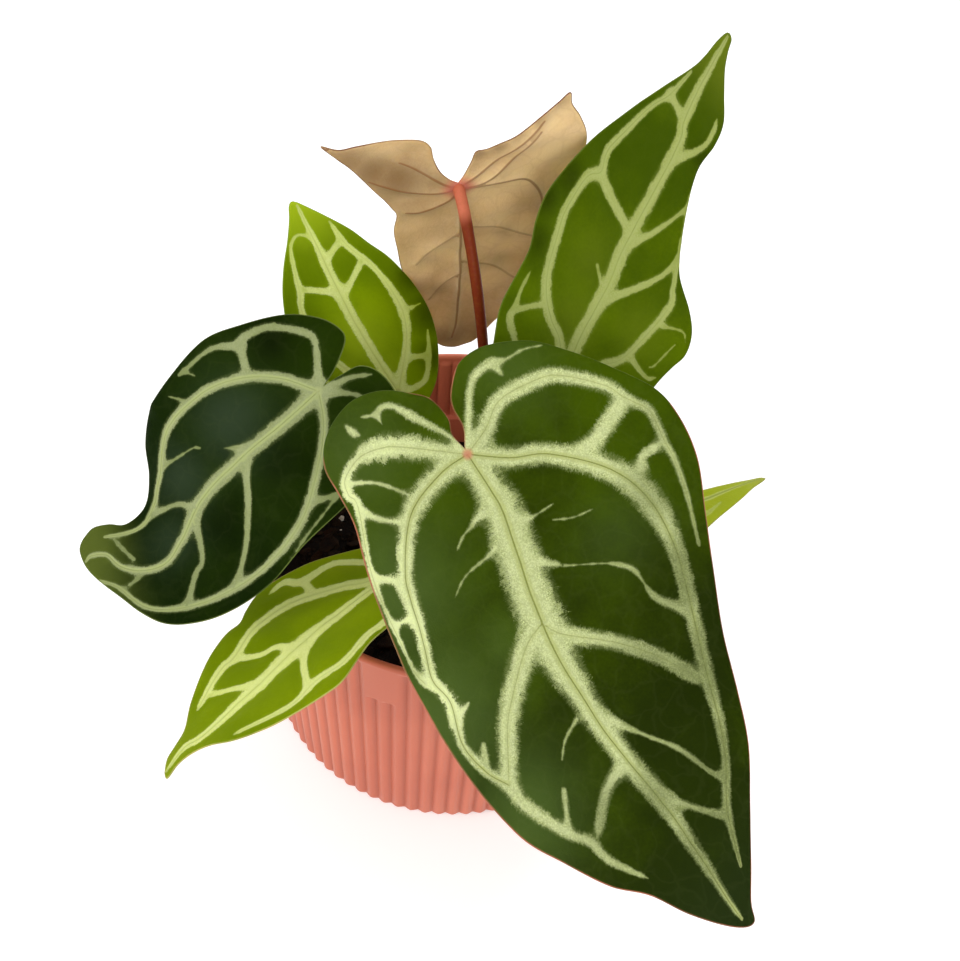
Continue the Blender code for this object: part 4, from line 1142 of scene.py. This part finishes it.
class Blade:
    """The bent surface of one leaf blade, on which its outline and veins are drawn."""

    # distances along the midrib, from behind the junction to past the longest tip
    REACH = np.arange(-60.0, 181.0)

    def __init__(self, leaf):
        course = np.array(leaf.course, float)
        heading, droop, roll = (
            np.radians(np.interp(self.REACH, course[:, 0], course[:, column]))
            for column in (1, 2, 3)
        )
        ahead = np.stack(
            [np.cos(droop) * np.cos(heading), np.cos(droop) * np.sin(heading), -np.sin(droop)], 1
        )
        level = np.stack([-np.sin(heading), np.cos(heading), 0 * heading], 1)
        up = np.cross(ahead, level)
        turn, lift = np.cos(roll)[:, None], np.sin(roll)[:, None]
        self.side = turn * level + lift * up
        self.normal = turn * up - lift * level
        steps = np.cumsum((ahead[1:] + ahead[:-1]) / 2, axis=0)
        steps = np.vstack([np.zeros(3), steps])
        start = int(np.searchsorted(self.REACH, 0.0))
        self.midrib = steps - steps[start] + np.array(leaf.junction, float)
        self.curvature = leaf.cup / 100

    def frame(self, along):
        """Midrib points, sides and normals at these distances along the midrib."""
        return [
            np.stack([np.interp(along, self.REACH, rows[:, axis]) for axis in range(3)], -1)
            for rows in (self.midrib, self.side, self.normal)
        ]

    def points(self, across, along, height):
        """Places on the blade, height above its middle surface."""
        midrib, side, normal = self.frame(along)
        if self.curvature == 0:
            return midrib + side * across[:, None] + normal * height[:, None]
        bend = self.curvature * across
        radius = 1 / self.curvature - height
        aside = (radius * np.sin(bend))[:, None]
        raised = (1 / self.curvature - radius * np.cos(bend))[:, None]
        return midrib + side * aside + normal * raised


def smooth_through(points, step):
    """Rows about step apart on a smooth curve through the points, from the first to the last."""
    rows = [np.array(p, float) for p in points]
    rows = [2 * rows[0] - rows[1]] + rows + [2 * rows[-1] - rows[-2]]
    path = []
    for before, start, end, after in zip(rows, rows[1:], rows[2:], rows[3:]):
        count = max(1, round(float(np.linalg.norm((end - start)[:2])) / step))
        t = (np.arange(count) / count)[:, None]
        bend = 2 * before - 5 * start + 4 * end - after
        twist = 3 * start - before - 3 * end + after
        path.append(0.5 * (2 * start + (end - before) * t + bend * t**2 + twist * t**3))
    return np.vstack(path + [rows[-2][None]])


def tapered(path):
    """The line with its width drawn in over its last stretch."""
    steps = np.linalg.norm(np.diff(path[:, :2], axis=0), axis=1)
    left = np.append(np.cumsum(steps[::-1])[::-1], 0.0)
    path[:, 2] *= np.clip(0.2 + left / 2, 0, 1)
    return path


def is_inside(places, outline):
    """Which of the places lie inside the closed outline."""
    odd = np.zeros(len(places), bool)
    x, y = places[:, 0], places[:, 1]
    for (x0, y0), (x1, y1) in zip(outline, np.roll(outline, -1, axis=0)):
        if y0 != y1:
            crosses = (y0 > y) != (y1 > y)
            odd ^= crosses & (x < x0 + (y - y0) * (x1 - x0) / (y1 - y0))
    return odd


class Sieve:
    """Lets a place through when it keeps its distance from all those let through before."""

    def __init__(self, cell):
        self.cell = cell
        self.kept = []
        self.cells = {}

    def offer(self, places, distance):
        for place in places:
            x, y = float(place[0]), float(place[1])
            column, row = int(x // self.cell), int(y // self.cell)
            near = (
                other
                for i in (column - 1, column, column + 1)
                for j in (row - 1, row, row + 1)
                for other in self.cells.get((i, j), ())
            )
            if all((x - a) ** 2 + (y - b) ** 2 >= distance**2 for a, b in near):
                self.cells.setdefault((column, row), []).append((x, y))
                self.kept.append((x, y))


class Strokes:
    """Lines drawn on the blade, each with a width and a strength along it."""

    def __init__(self, lines):
        rows = []
        for order, (strength, path) in enumerate(lines):
            steps = np.diff(path, axis=0)
            passed = np.cumsum(np.linalg.norm(steps[:, :2], axis=1))
            same = np.ones(len(steps))
            rows.append(np.column_stack([
                path[:-1, :2], steps[:, :2], path[:-1, 2] / 2, steps[:, 2] / 2,
                np.append(0.0, passed[:-1]), strength * same, order * same,
            ]))
        rows = np.vstack(rows)
        self.start, self.run = rows[:, :2].copy(), rows[:, 2:4].copy()
        self.half, self.change, self.distance, self.strength, self.order = rows[:, 4:].T.copy()

    def measure(self, places, melt=0.9):
        """For each place: the distance to the edge of the bands, which melt together where they
        meet, half the width of the band there, how far along which line the place is, and the
        distance to the nearest ribbed line with its strength and width."""
        results = []
        squared = (self.run**2).sum(1)
        bounds = [*np.unique(self.order, return_index=True)[1], len(self.order)]
        for block in np.array_split(places, len(places) // 1500 + 1):
            offset = block[:, None] - self.start[None]
            share = np.clip((offset * self.run).sum(-1) / squared, 0, 1)
            gap = np.linalg.norm(offset - share[..., None] * self.run, axis=-1)
            half = self.half + share * self.change
            edge = gap - half
            picks = [edge[:, low:high].argmin(1) + low for low, high in zip(bounds, bounds[1:])]
            picks = np.array(picks).T
            edges = np.take_along_axis(edge, picks, 1)
            halves = np.take_along_axis(half, picks, 1)
            nearest = edges.min(1, keepdims=True)
            weight = np.exp((nearest - edges) / melt)
            melted = nearest[:, 0] - melt * np.log(weight.sum(1))
            girth = (weight * halves).sum(1) / weight.sum(1)
            rows = np.arange(len(block))
            pick = picks[rows, edges.argmin(1)]
            along = self.distance[pick] + share[rows, pick] * np.sqrt(squared[pick])
            # a line without a rib counts as far away
            ribbed = gap + np.where(self.strength > 0, 0.0, 50.0)
            rib = ribbed.argmin(1)
            results.append(np.column_stack([
                melted, girth, along, self.order[pick], ribbed[rows, rib], self.strength[rib],
                half[rows, rib],
            ]))
        return np.vstack(results).T


def blade_places(leaf, step):
    """The flat mesh points of a blade: its rim, its veins, and a filling between them."""
    rim = smooth_through(leaf.outline, step)[:-1]
    sieve = Sieve(step)
    sieve.offer(rim, RIM_SPACING * step)
    rim = np.array(sieve.kept)
    for strength, *vein in sorted(leaf.veins, reverse=True):
        path = smooth_through(vein, 0.8 * step)[:, :2]
        path = path[is_inside(path, rim)]
        if len(path) < 2:
            continue
        sieve.offer(path, VEIN_SPACING * step)
        if strength >= FLANKED:
            ahead = np.gradient(path, axis=0)
            aside = np.stack([-ahead[:, 1], ahead[:, 0]], 1)
            aside /= np.linalg.norm(aside, axis=1)[:, None]
            for offset in (0.45 * step, -0.45 * step):
                flank = path + offset * aside
                sieve.offer(flank[is_inside(flank, rim)], VEIN_SPACING * step)
    low, high = rim.min(0) + 0.01, rim.max(0)
    rows = np.arange(low[1], high[1], ROW_SPACING * step)
    columns = np.arange(low[0], high[0], step)
    grid = np.array([(x + 0.5 * step * (k % 2), y) for k, y in enumerate(rows) for x in columns])
    sieve.offer(grid[is_inside(grid, rim)], FILL_SPACING * step)
    return len(rim), np.array(sieve.kept)


def blade_triangles(leaf, step):
    """The flat points of a blade, and the triangles between them, all turned one way."""
    rim_count, places = blade_places(leaf, step)
    flat, _, triangles, _, _, _ = delaunay_2d_cdt(
        [Vector(p) for p in places], [], [tuple(range(rim_count))], 1, 1e-6
    )
    flat = np.array(flat)
    triangles = np.array(triangles)
    a, b, c = (flat[triangles[:, i]] for i in range(3))
    ab, ac = b - a, c - a
    turned = ab[:, 0] * ac[:, 1] - ab[:, 1] * ac[:, 0] > 0
    triangles[turned] = triangles[turned][:, ::-1]
    return flat, triangles


def rim_pairs(triangles):
    """The edges that only one triangle has, as pairs of points."""
    edges = {}
    for x, y, z in triangles.tolist():
        for pair in ((x, y), (y, z), (z, x)):
            edges[pair] = True
    return [pair for pair in edges if pair[::-1] not in edges]


def outward_ways(flat, border):
    """For each point of the rim, by its index, the way that leads out of the blade."""
    outward = {}
    for start, end in border:
        run = flat[end] - flat[start]
        away = np.array([-run[1], run[0]])
        for index in (start, end):
            outward[index] = outward.get(index, 0) + away / np.linalg.norm(away)
    return outward


def swelling(leaf, flat, edge, rim):
    """How far the blade bulges between its veins and rolls up and down as a whole."""
    calm = np.clip(rim / CALM_RIM, 0, 1)
    swell = leaf.quilt * (1 - np.exp(-((np.maximum(edge + 0.6, 0) / SWELL_REACH) ** 2))) * calm
    roll = np.array([noise.noise(Vector((0.05 * u, 0.11 * v + leaf.stand, 0.0))) for u, v in flat])
    return swell + leaf.wave * roll * np.clip(np.hypot(*flat.T) / 15, 0, 1) * (0.4 + 0.6 * calm)


def patch_measures(leaf, across, length):
    """How strongly each kind of patch of painted light and shade shows at each place."""
    measures = {}
    for kind in PATCHES:
        measures[kind] = np.zeros(len(across))
        for u, v, radius, strength in leaf.patches.get(kind, ()):
            away = ((across - u) ** 2 + (length - v) ** 2) / radius**2
            measures[kind] = np.maximum(measures[kind], strength * np.exp(-away))
    return measures


def blade_sheet(leaf, tint, thickness, step):
    """Points, faces and measures of a blade: two faces joined round a rounded rim."""
    flat, triangles = blade_triangles(leaf, step)
    lines = [(strength, tapered(smooth_through(vein, 0.5))) for strength, *vein in leaf.veins]
    edge, girth, along, order, line, rib, rib_half = Strokes(lines).measure(flat)
    worn = np.sin(0.9 * along + 2.1 * order) + np.sin(2.3 * along + 5.3 * order)
    edge = edge + 0.1 * worn * np.clip(1.1 - girth, 0, 1)
    outline = smooth_through(leaf.outline, 1.0)
    rim = Strokes([(0, np.column_stack([outline, np.zeros(len(outline))]))]).measure(flat)[0]
    swell = swelling(leaf, flat, edge, rim)
    ridge = rib * (
        RIB_HEIGHT * np.exp(-((line / RIB_WIDTH) ** 2))
        - CREASE_DEPTH * np.exp(-((line / CREASE_WIDTH) ** 2))
    )
    keel = KEEL_HEIGHT * rib * np.exp(-((line / KEEL_WIDTH) ** 2)) * np.clip(rim / 3, 0, 1)
    slim = 0.5 * thickness * (THIN_RIM + 0.45 * np.clip(rim / 1.5, 0, 1))

    border = rim_pairs(triangles)
    outward = outward_ways(flat, border)
    lip = np.array([
        flat[index] + 0.5 * slim[index] * away / max(np.linalg.norm(away), 0.3)
        for index, away in outward.items()
    ])
    ring_index = list(outward)
    count = len(flat)
    ring = {index: 2 * count + place for place, index in enumerate(outward)}
    across = np.concatenate([flat[:, 0], flat[:, 0], lip[:, 0]])
    length = np.concatenate([flat[:, 1], flat[:, 1], lip[:, 1]])
    height = np.concatenate([swell + ridge + slim, swell - keel - slim, swell[ring_index]])
    faces = triangles.tolist() + (triangles[:, ::-1] + count).tolist()
    for start, end in border:
        faces.append((end, start, ring[start], ring[end]))
        faces.append((ring[end], ring[start], start + count, end + count))

    repeat = np.concatenate([np.arange(count), np.arange(count), ring_index]).astype(int)
    starts = np.where(across < 0, *tint.blush)
    far = np.hypot(across, length)
    bare_rim = np.clip((starts - length) / 5, 0, 1) * np.clip((far - BLUSH_START) / 4, 0, 1)
    measures = {
        "edge": (edge / (0.3 + 0.3 * girth))[repeat],
        "girth": girth[repeat],
        "line": (line / (0.3 + 0.13 * rib_half))[repeat],
        "rib": rib[repeat],
        "rim": np.concatenate([rim, rim, np.zeros(len(lip))]) + 0.5 * bare_rim,
        "upper": np.concatenate([np.ones(count), np.zeros(count), np.full(len(lip), 0.5)]),
        "heart": far / tint.heart_size,
        "reach": np.clip(length / max(p[1] for p in leaf.outline), 0, 1),
        **patch_measures(leaf, across, length),
    }
    fibre = np.column_stack([along * 2.6, edge * 0.6, order * 7.7])[repeat]
    return Blade(leaf).points(across, length, height), faces, measures, fibre


def check_place(piece, node, slack=8 * MM):
    """A piece that strays from the node that it stands for is a mistake in its numbers."""
    corners = np.array([v.co for v in piece.data.vertices])
    for mine, theirs in zip((corners.min(0), corners.max(0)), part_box(node)):
        if np.abs(mine - np.array(theirs)).max() > slack:
            raise RuntimeError(f"{piece.name} lies outside {node}")


def build_blade(name, leaf, settings):
    tint = TINTS[name]
    points, faces, measures, fibre = blade_sheet(
        leaf, tint, settings.blade_thickness / MM, settings.blade_step / MM
    )
    material = leaf_material(name, tint, settings.fringe)
    mesh = mesh_of(f"leaf_{name}", points, faces, material)
    for label, values in measures.items():
        keep_measure(mesh, label, values)
    attribute = mesh.attributes.new("fibre", "FLOAT_VECTOR", "POINT")
    attribute.data.foreach_set("vector", fibre.astype(np.float32).ravel())
    piece = add_object(f"leaf_{name}", mesh)
    check_place(piece, f"blade_{name}")
    seat(piece, f"blade_{name}", f"blade_{name}")


def petiole_path(leaf):
    """From inside the crown up to the underside of the blade, which it meets squarely."""
    around = radians(leaf.stand)
    foot = np.array([PETIOLE_RING * cos(around), PETIOLE_RING * sin(around), CROWN_TOP])
    junction, _, normal = (rows[0] for rows in Blade(leaf).frame(np.array([0.0])))
    rise = np.array(leaf.rise, float)
    bend = junction - normal * leaf.arrival
    t = np.linspace(0, 1, 49)[:, None]
    s = 1 - t
    path = s**3 * foot + 3 * s * s * t * rise + 3 * s * t * t * bend + t**3 * junction
    root = np.array([[0.75 * foot[0], 0.75 * foot[1], CROWN_TOP - PETIOLE_ROOT]])
    return np.vstack([root, path])


def petiole_tree():
    """Sweeps a stalk along a path: broad at its foot, slim, then a thicker joint at the top."""
    tree, nodes, given = start_group("Petiole", ("Foot Radius", "Neck Radius", "Joint Radius"))
    sockets = {"Curve": given["Geometry"], "Count": PETIOLE_STEPS}
    line = nodes.add("GeometryNodeResampleCurve", sockets, mode="COUNT")
    share = nodes.add("GeometryNodeSplineParameter")
    neck = given["Neck Radius"]
    spread = (1 - nodes.smooth(share, 0.0, 0.3)) * (given["Foot Radius"] - neck)
    joint = nodes.smooth(share, 0.87, 0.93) * (given["Joint Radius"] - neck)
    wobble = (nodes.noise(nodes.add("GeometryNodeInputPosition"), 60.0) - 0.5) * 0.35 * MM
    ring = nodes.add("GeometryNodeCurvePrimitiveCircle", {"Resolution": PETIOLE_SIDES, "Radius": 1.0})
    sockets = {
        "Curve": stored(nodes, line, "along", share),
        "Profile Curve": ring,
        "Scale": neck + spread + joint + wobble,
        "Fill Caps": True,
    }
    finish_group(nodes, nodes.add("GeometryNodeCurveToMesh", sockets), given["Material"], True)
    return tree


def build_petioles(settings):
    tree = petiole_tree()
    values = {
        "Foot Radius": settings.petiole_foot,
        "Neck Radius": settings.petiole_neck,
        "Joint Radius": settings.petiole_joint,
        "Material": petiole_material(tuple(settings.petiole_red), tuple(settings.petiole_brown)),
    }
    for name, leaf in LEAVES.items():
        path = petiole_path(leaf) * MM
        curve = bpy.data.curves.new(f"way_{name}", "CURVE")
        curve.dimensions = "3D"
        spline = curve.splines.new("POLY")
        spline.points.add(len(path) - 1)
        spline.points.foreach_set("co", np.column_stack([path, np.ones(len(path))]).ravel())
        stalk = grown(f"stalk_{name}", add_object(curve.name, curve), tree, values)
        seat(stalk, "petiole", f"petiole_{name}")


def make_lamp(name, place, size, power):
    lamp = bpy.data.lights.new(name, "AREA")
    lamp.shape = "DISK"
    lamp.size = size
    lamp.energy = power
    holder = add_object(name, lamp)
    holder.location = place
    holder.rotation_euler = (Vector(LAMP_AIM) - Vector(place)).to_track_quat("-Z", "Y").to_euler()


def seen_directly(nodes):
    """1 where the camera, a reflection or clear glass looks straight at the surface."""
    camera, glossy, through = (
        nodes.add("ShaderNodeLightPath", output=f"Is {kind} Ray")
        for kind in ("Camera", "Glossy", "Transmission")
    )
    return nodes.math("MAXIMUM", nodes.math("MAXIMUM", camera, glossy), through)


def build_world(strength):
    """Even light from all round, seen as plain white."""
    world = bpy.data.worlds.new("studio")
    world.use_nodes = True
    nodes = Nodes(world.node_tree)
    world.node_tree.nodes.clear()
    light, white = (
        nodes.add("ShaderNodeBackground", {"Color": (1.0, 1.0, 1.0, 1.0), "Strength": amount})
        for amount in (strength, 1.0)
    )
    both = nodes.add("ShaderNodeMixShader", {0: seen_directly(nodes), 1: light, 2: white})
    nodes.add("ShaderNodeOutputWorld", {"Surface": both})
    bpy.context.scene.world = world


def build_floor():
    """A wide white floor that keeps the pot's soft shadow, and is plain white further out."""
    material, nodes, shader, place = start_material("floor_white", 0.9, 0.0)
    shader.inputs["Emission Strength"].default_value = 1.0
    far = nodes.smooth(nodes.vector("LENGTH", place, output=1), *FLOOR_FADE)
    seen = seen_directly(nodes)
    shown = nodes.blend(far, (0.92,) * 3, (0.0,) * 3)
    glow = nodes.blend(far, (0.3,) * 3, (1.0,) * 3)
    nodes.feed(shader.inputs["Base Color"], nodes.blend(seen, (0.82,) * 3, shown))
    nodes.feed(shader.inputs["Emission Color"], nodes.blend(seen, (0.0,) * 3, glow))
    mesh = bpy.data.meshes.new("floor")
    corners = [(x * FLOOR_HALF, y * FLOOR_HALF, 0) for x, y in ((-1, -1), (1, -1), (1, 1), (-1, 1))]
    mesh.from_pydata(corners, [], [(0, 1, 2, 3)])
    mesh.materials.append(material)
    add_object("floor", mesh)


def build_camera(lens):
    """Looks down on the plant from in front, a little rolled, from about 45 cm away."""
    camera = bpy.data.cameras.new("camera")
    camera.lens = lens
    camera.clip_start = 0.01
    view = add_object("camera", camera)
    place = Matrix.Translation(CAMERA_PLACE)
    for angle, axis in CAMERA_TURNS:
        place = place @ Matrix.Rotation(angle, 4, axis)
    view.matrix_world = place
    bpy.context.scene.camera = view


class MakePot(bpy.types.Operator):
    """Make the fluted cover pot"""

    bl_idname = "anthurium.make_pot"
    bl_label = "Pot"

    def execute(self, context):
        build_pot(context.scene.anthurium_pot)
        return {"FINISHED"}


class MakeMix(bpy.types.Operator):
    """Make the potting mix and the grains that lie on it"""

    bl_idname = "anthurium.make_mix"
    bl_label = "Potting Mix"

    def execute(self, context):
        settings = context.scene.anthurium_mix
        # near-black colours: partly the mix's own dark colour, partly painted shade under the leaves
        build_mix_bed(grain_material("damp_mix", (0.004, 0.003, 0.002), tuple(settings.colour), 0.4))
        build_grains(settings)
        return {"FINISHED"}


class MakeCrown(bpy.types.Operator):
    """Make the short stem that carries the petioles"""

    bl_idname = "anthurium.make_crown"
    bl_label = "Crown"

    def execute(self, context):
        build_crown()
        return {"FINISHED"}


class MakePetioles(bpy.types.Operator):
    """Make the petioles"""

    bl_idname = "anthurium.make_petioles"
    bl_label = "Petioles"

    def execute(self, context):
        build_petioles(context.scene.anthurium_plant)
        return {"FINISHED"}


class MakeBlades(bpy.types.Operator):
    """Make the leaf blades"""

    bl_idname = "anthurium.make_blades"
    bl_label = "Blades"

    def execute(self, context):
        for name, leaf in LEAVES.items():
            build_blade(name, leaf, context.scene.anthurium_plant)
        return {"FINISHED"}


class MakeStage(bpy.types.Operator):
    """Make the camera, the lamps, the surroundings and the floor"""

    bl_idname = "anthurium.make_stage"
    bl_label = "Stage"

    def execute(self, context):
        settings = context.scene.anthurium_stage
        context.scene.view_settings.view_transform = "Standard"
        build_camera(settings.lens)
        build_world(settings.sky)
        build_floor()
        for name, (place, size) in LAMPS.items():
            make_lamp(name, place, size, getattr(settings, name))
        bpy.context.view_layer.update()
        return {"FINISHED"}


class AnthuriumPanel(bpy.types.Panel):
    """Sizes and colours of the plant, and a button for each part"""

    bl_idname = "VIEW3D_PT_anthurium"
    bl_label = "Anthurium"
    bl_space_type = "VIEW_3D"
    bl_region_type = "UI"
    bl_category = "Anthurium"

    def draw(self, context):
        for operator in MAKERS:
            self.layout.operator(operator.bl_idname)
        for label in SETTINGS:
            settings = getattr(context.scene, label)
            for name in settings.__annotations__:
                self.layout.prop(settings, name)


MAKERS = (MakeStage, MakePot, MakeMix, MakeCrown, MakePetioles, MakeBlades)
SETTINGS = {
    "anthurium_pot": PotSettings,
    "anthurium_mix": MixSettings,
    "anthurium_plant": PlantSettings,
    "anthurium_stage": StageSettings,
}


def register():
    for cls in (*SETTINGS.values(), *MAKERS, AnthuriumPanel):
        bpy.utils.register_class(cls)
    for label, cls in SETTINGS.items():
        setattr(bpy.types.Scene, label, PointerProperty(type=cls))


def unregister():
    for label in SETTINGS:
        delattr(bpy.types.Scene, label)
    for cls in reversed((*SETTINGS.values(), *MAKERS, AnthuriumPanel)):
        bpy.utils.unregister_class(cls)


def main():
    register()
    for operator in MAKERS:
        family, action = operator.bl_idname.split(".")
        getattr(getattr(bpy.ops, family), action)()


if __name__ == "__main__":
    main()
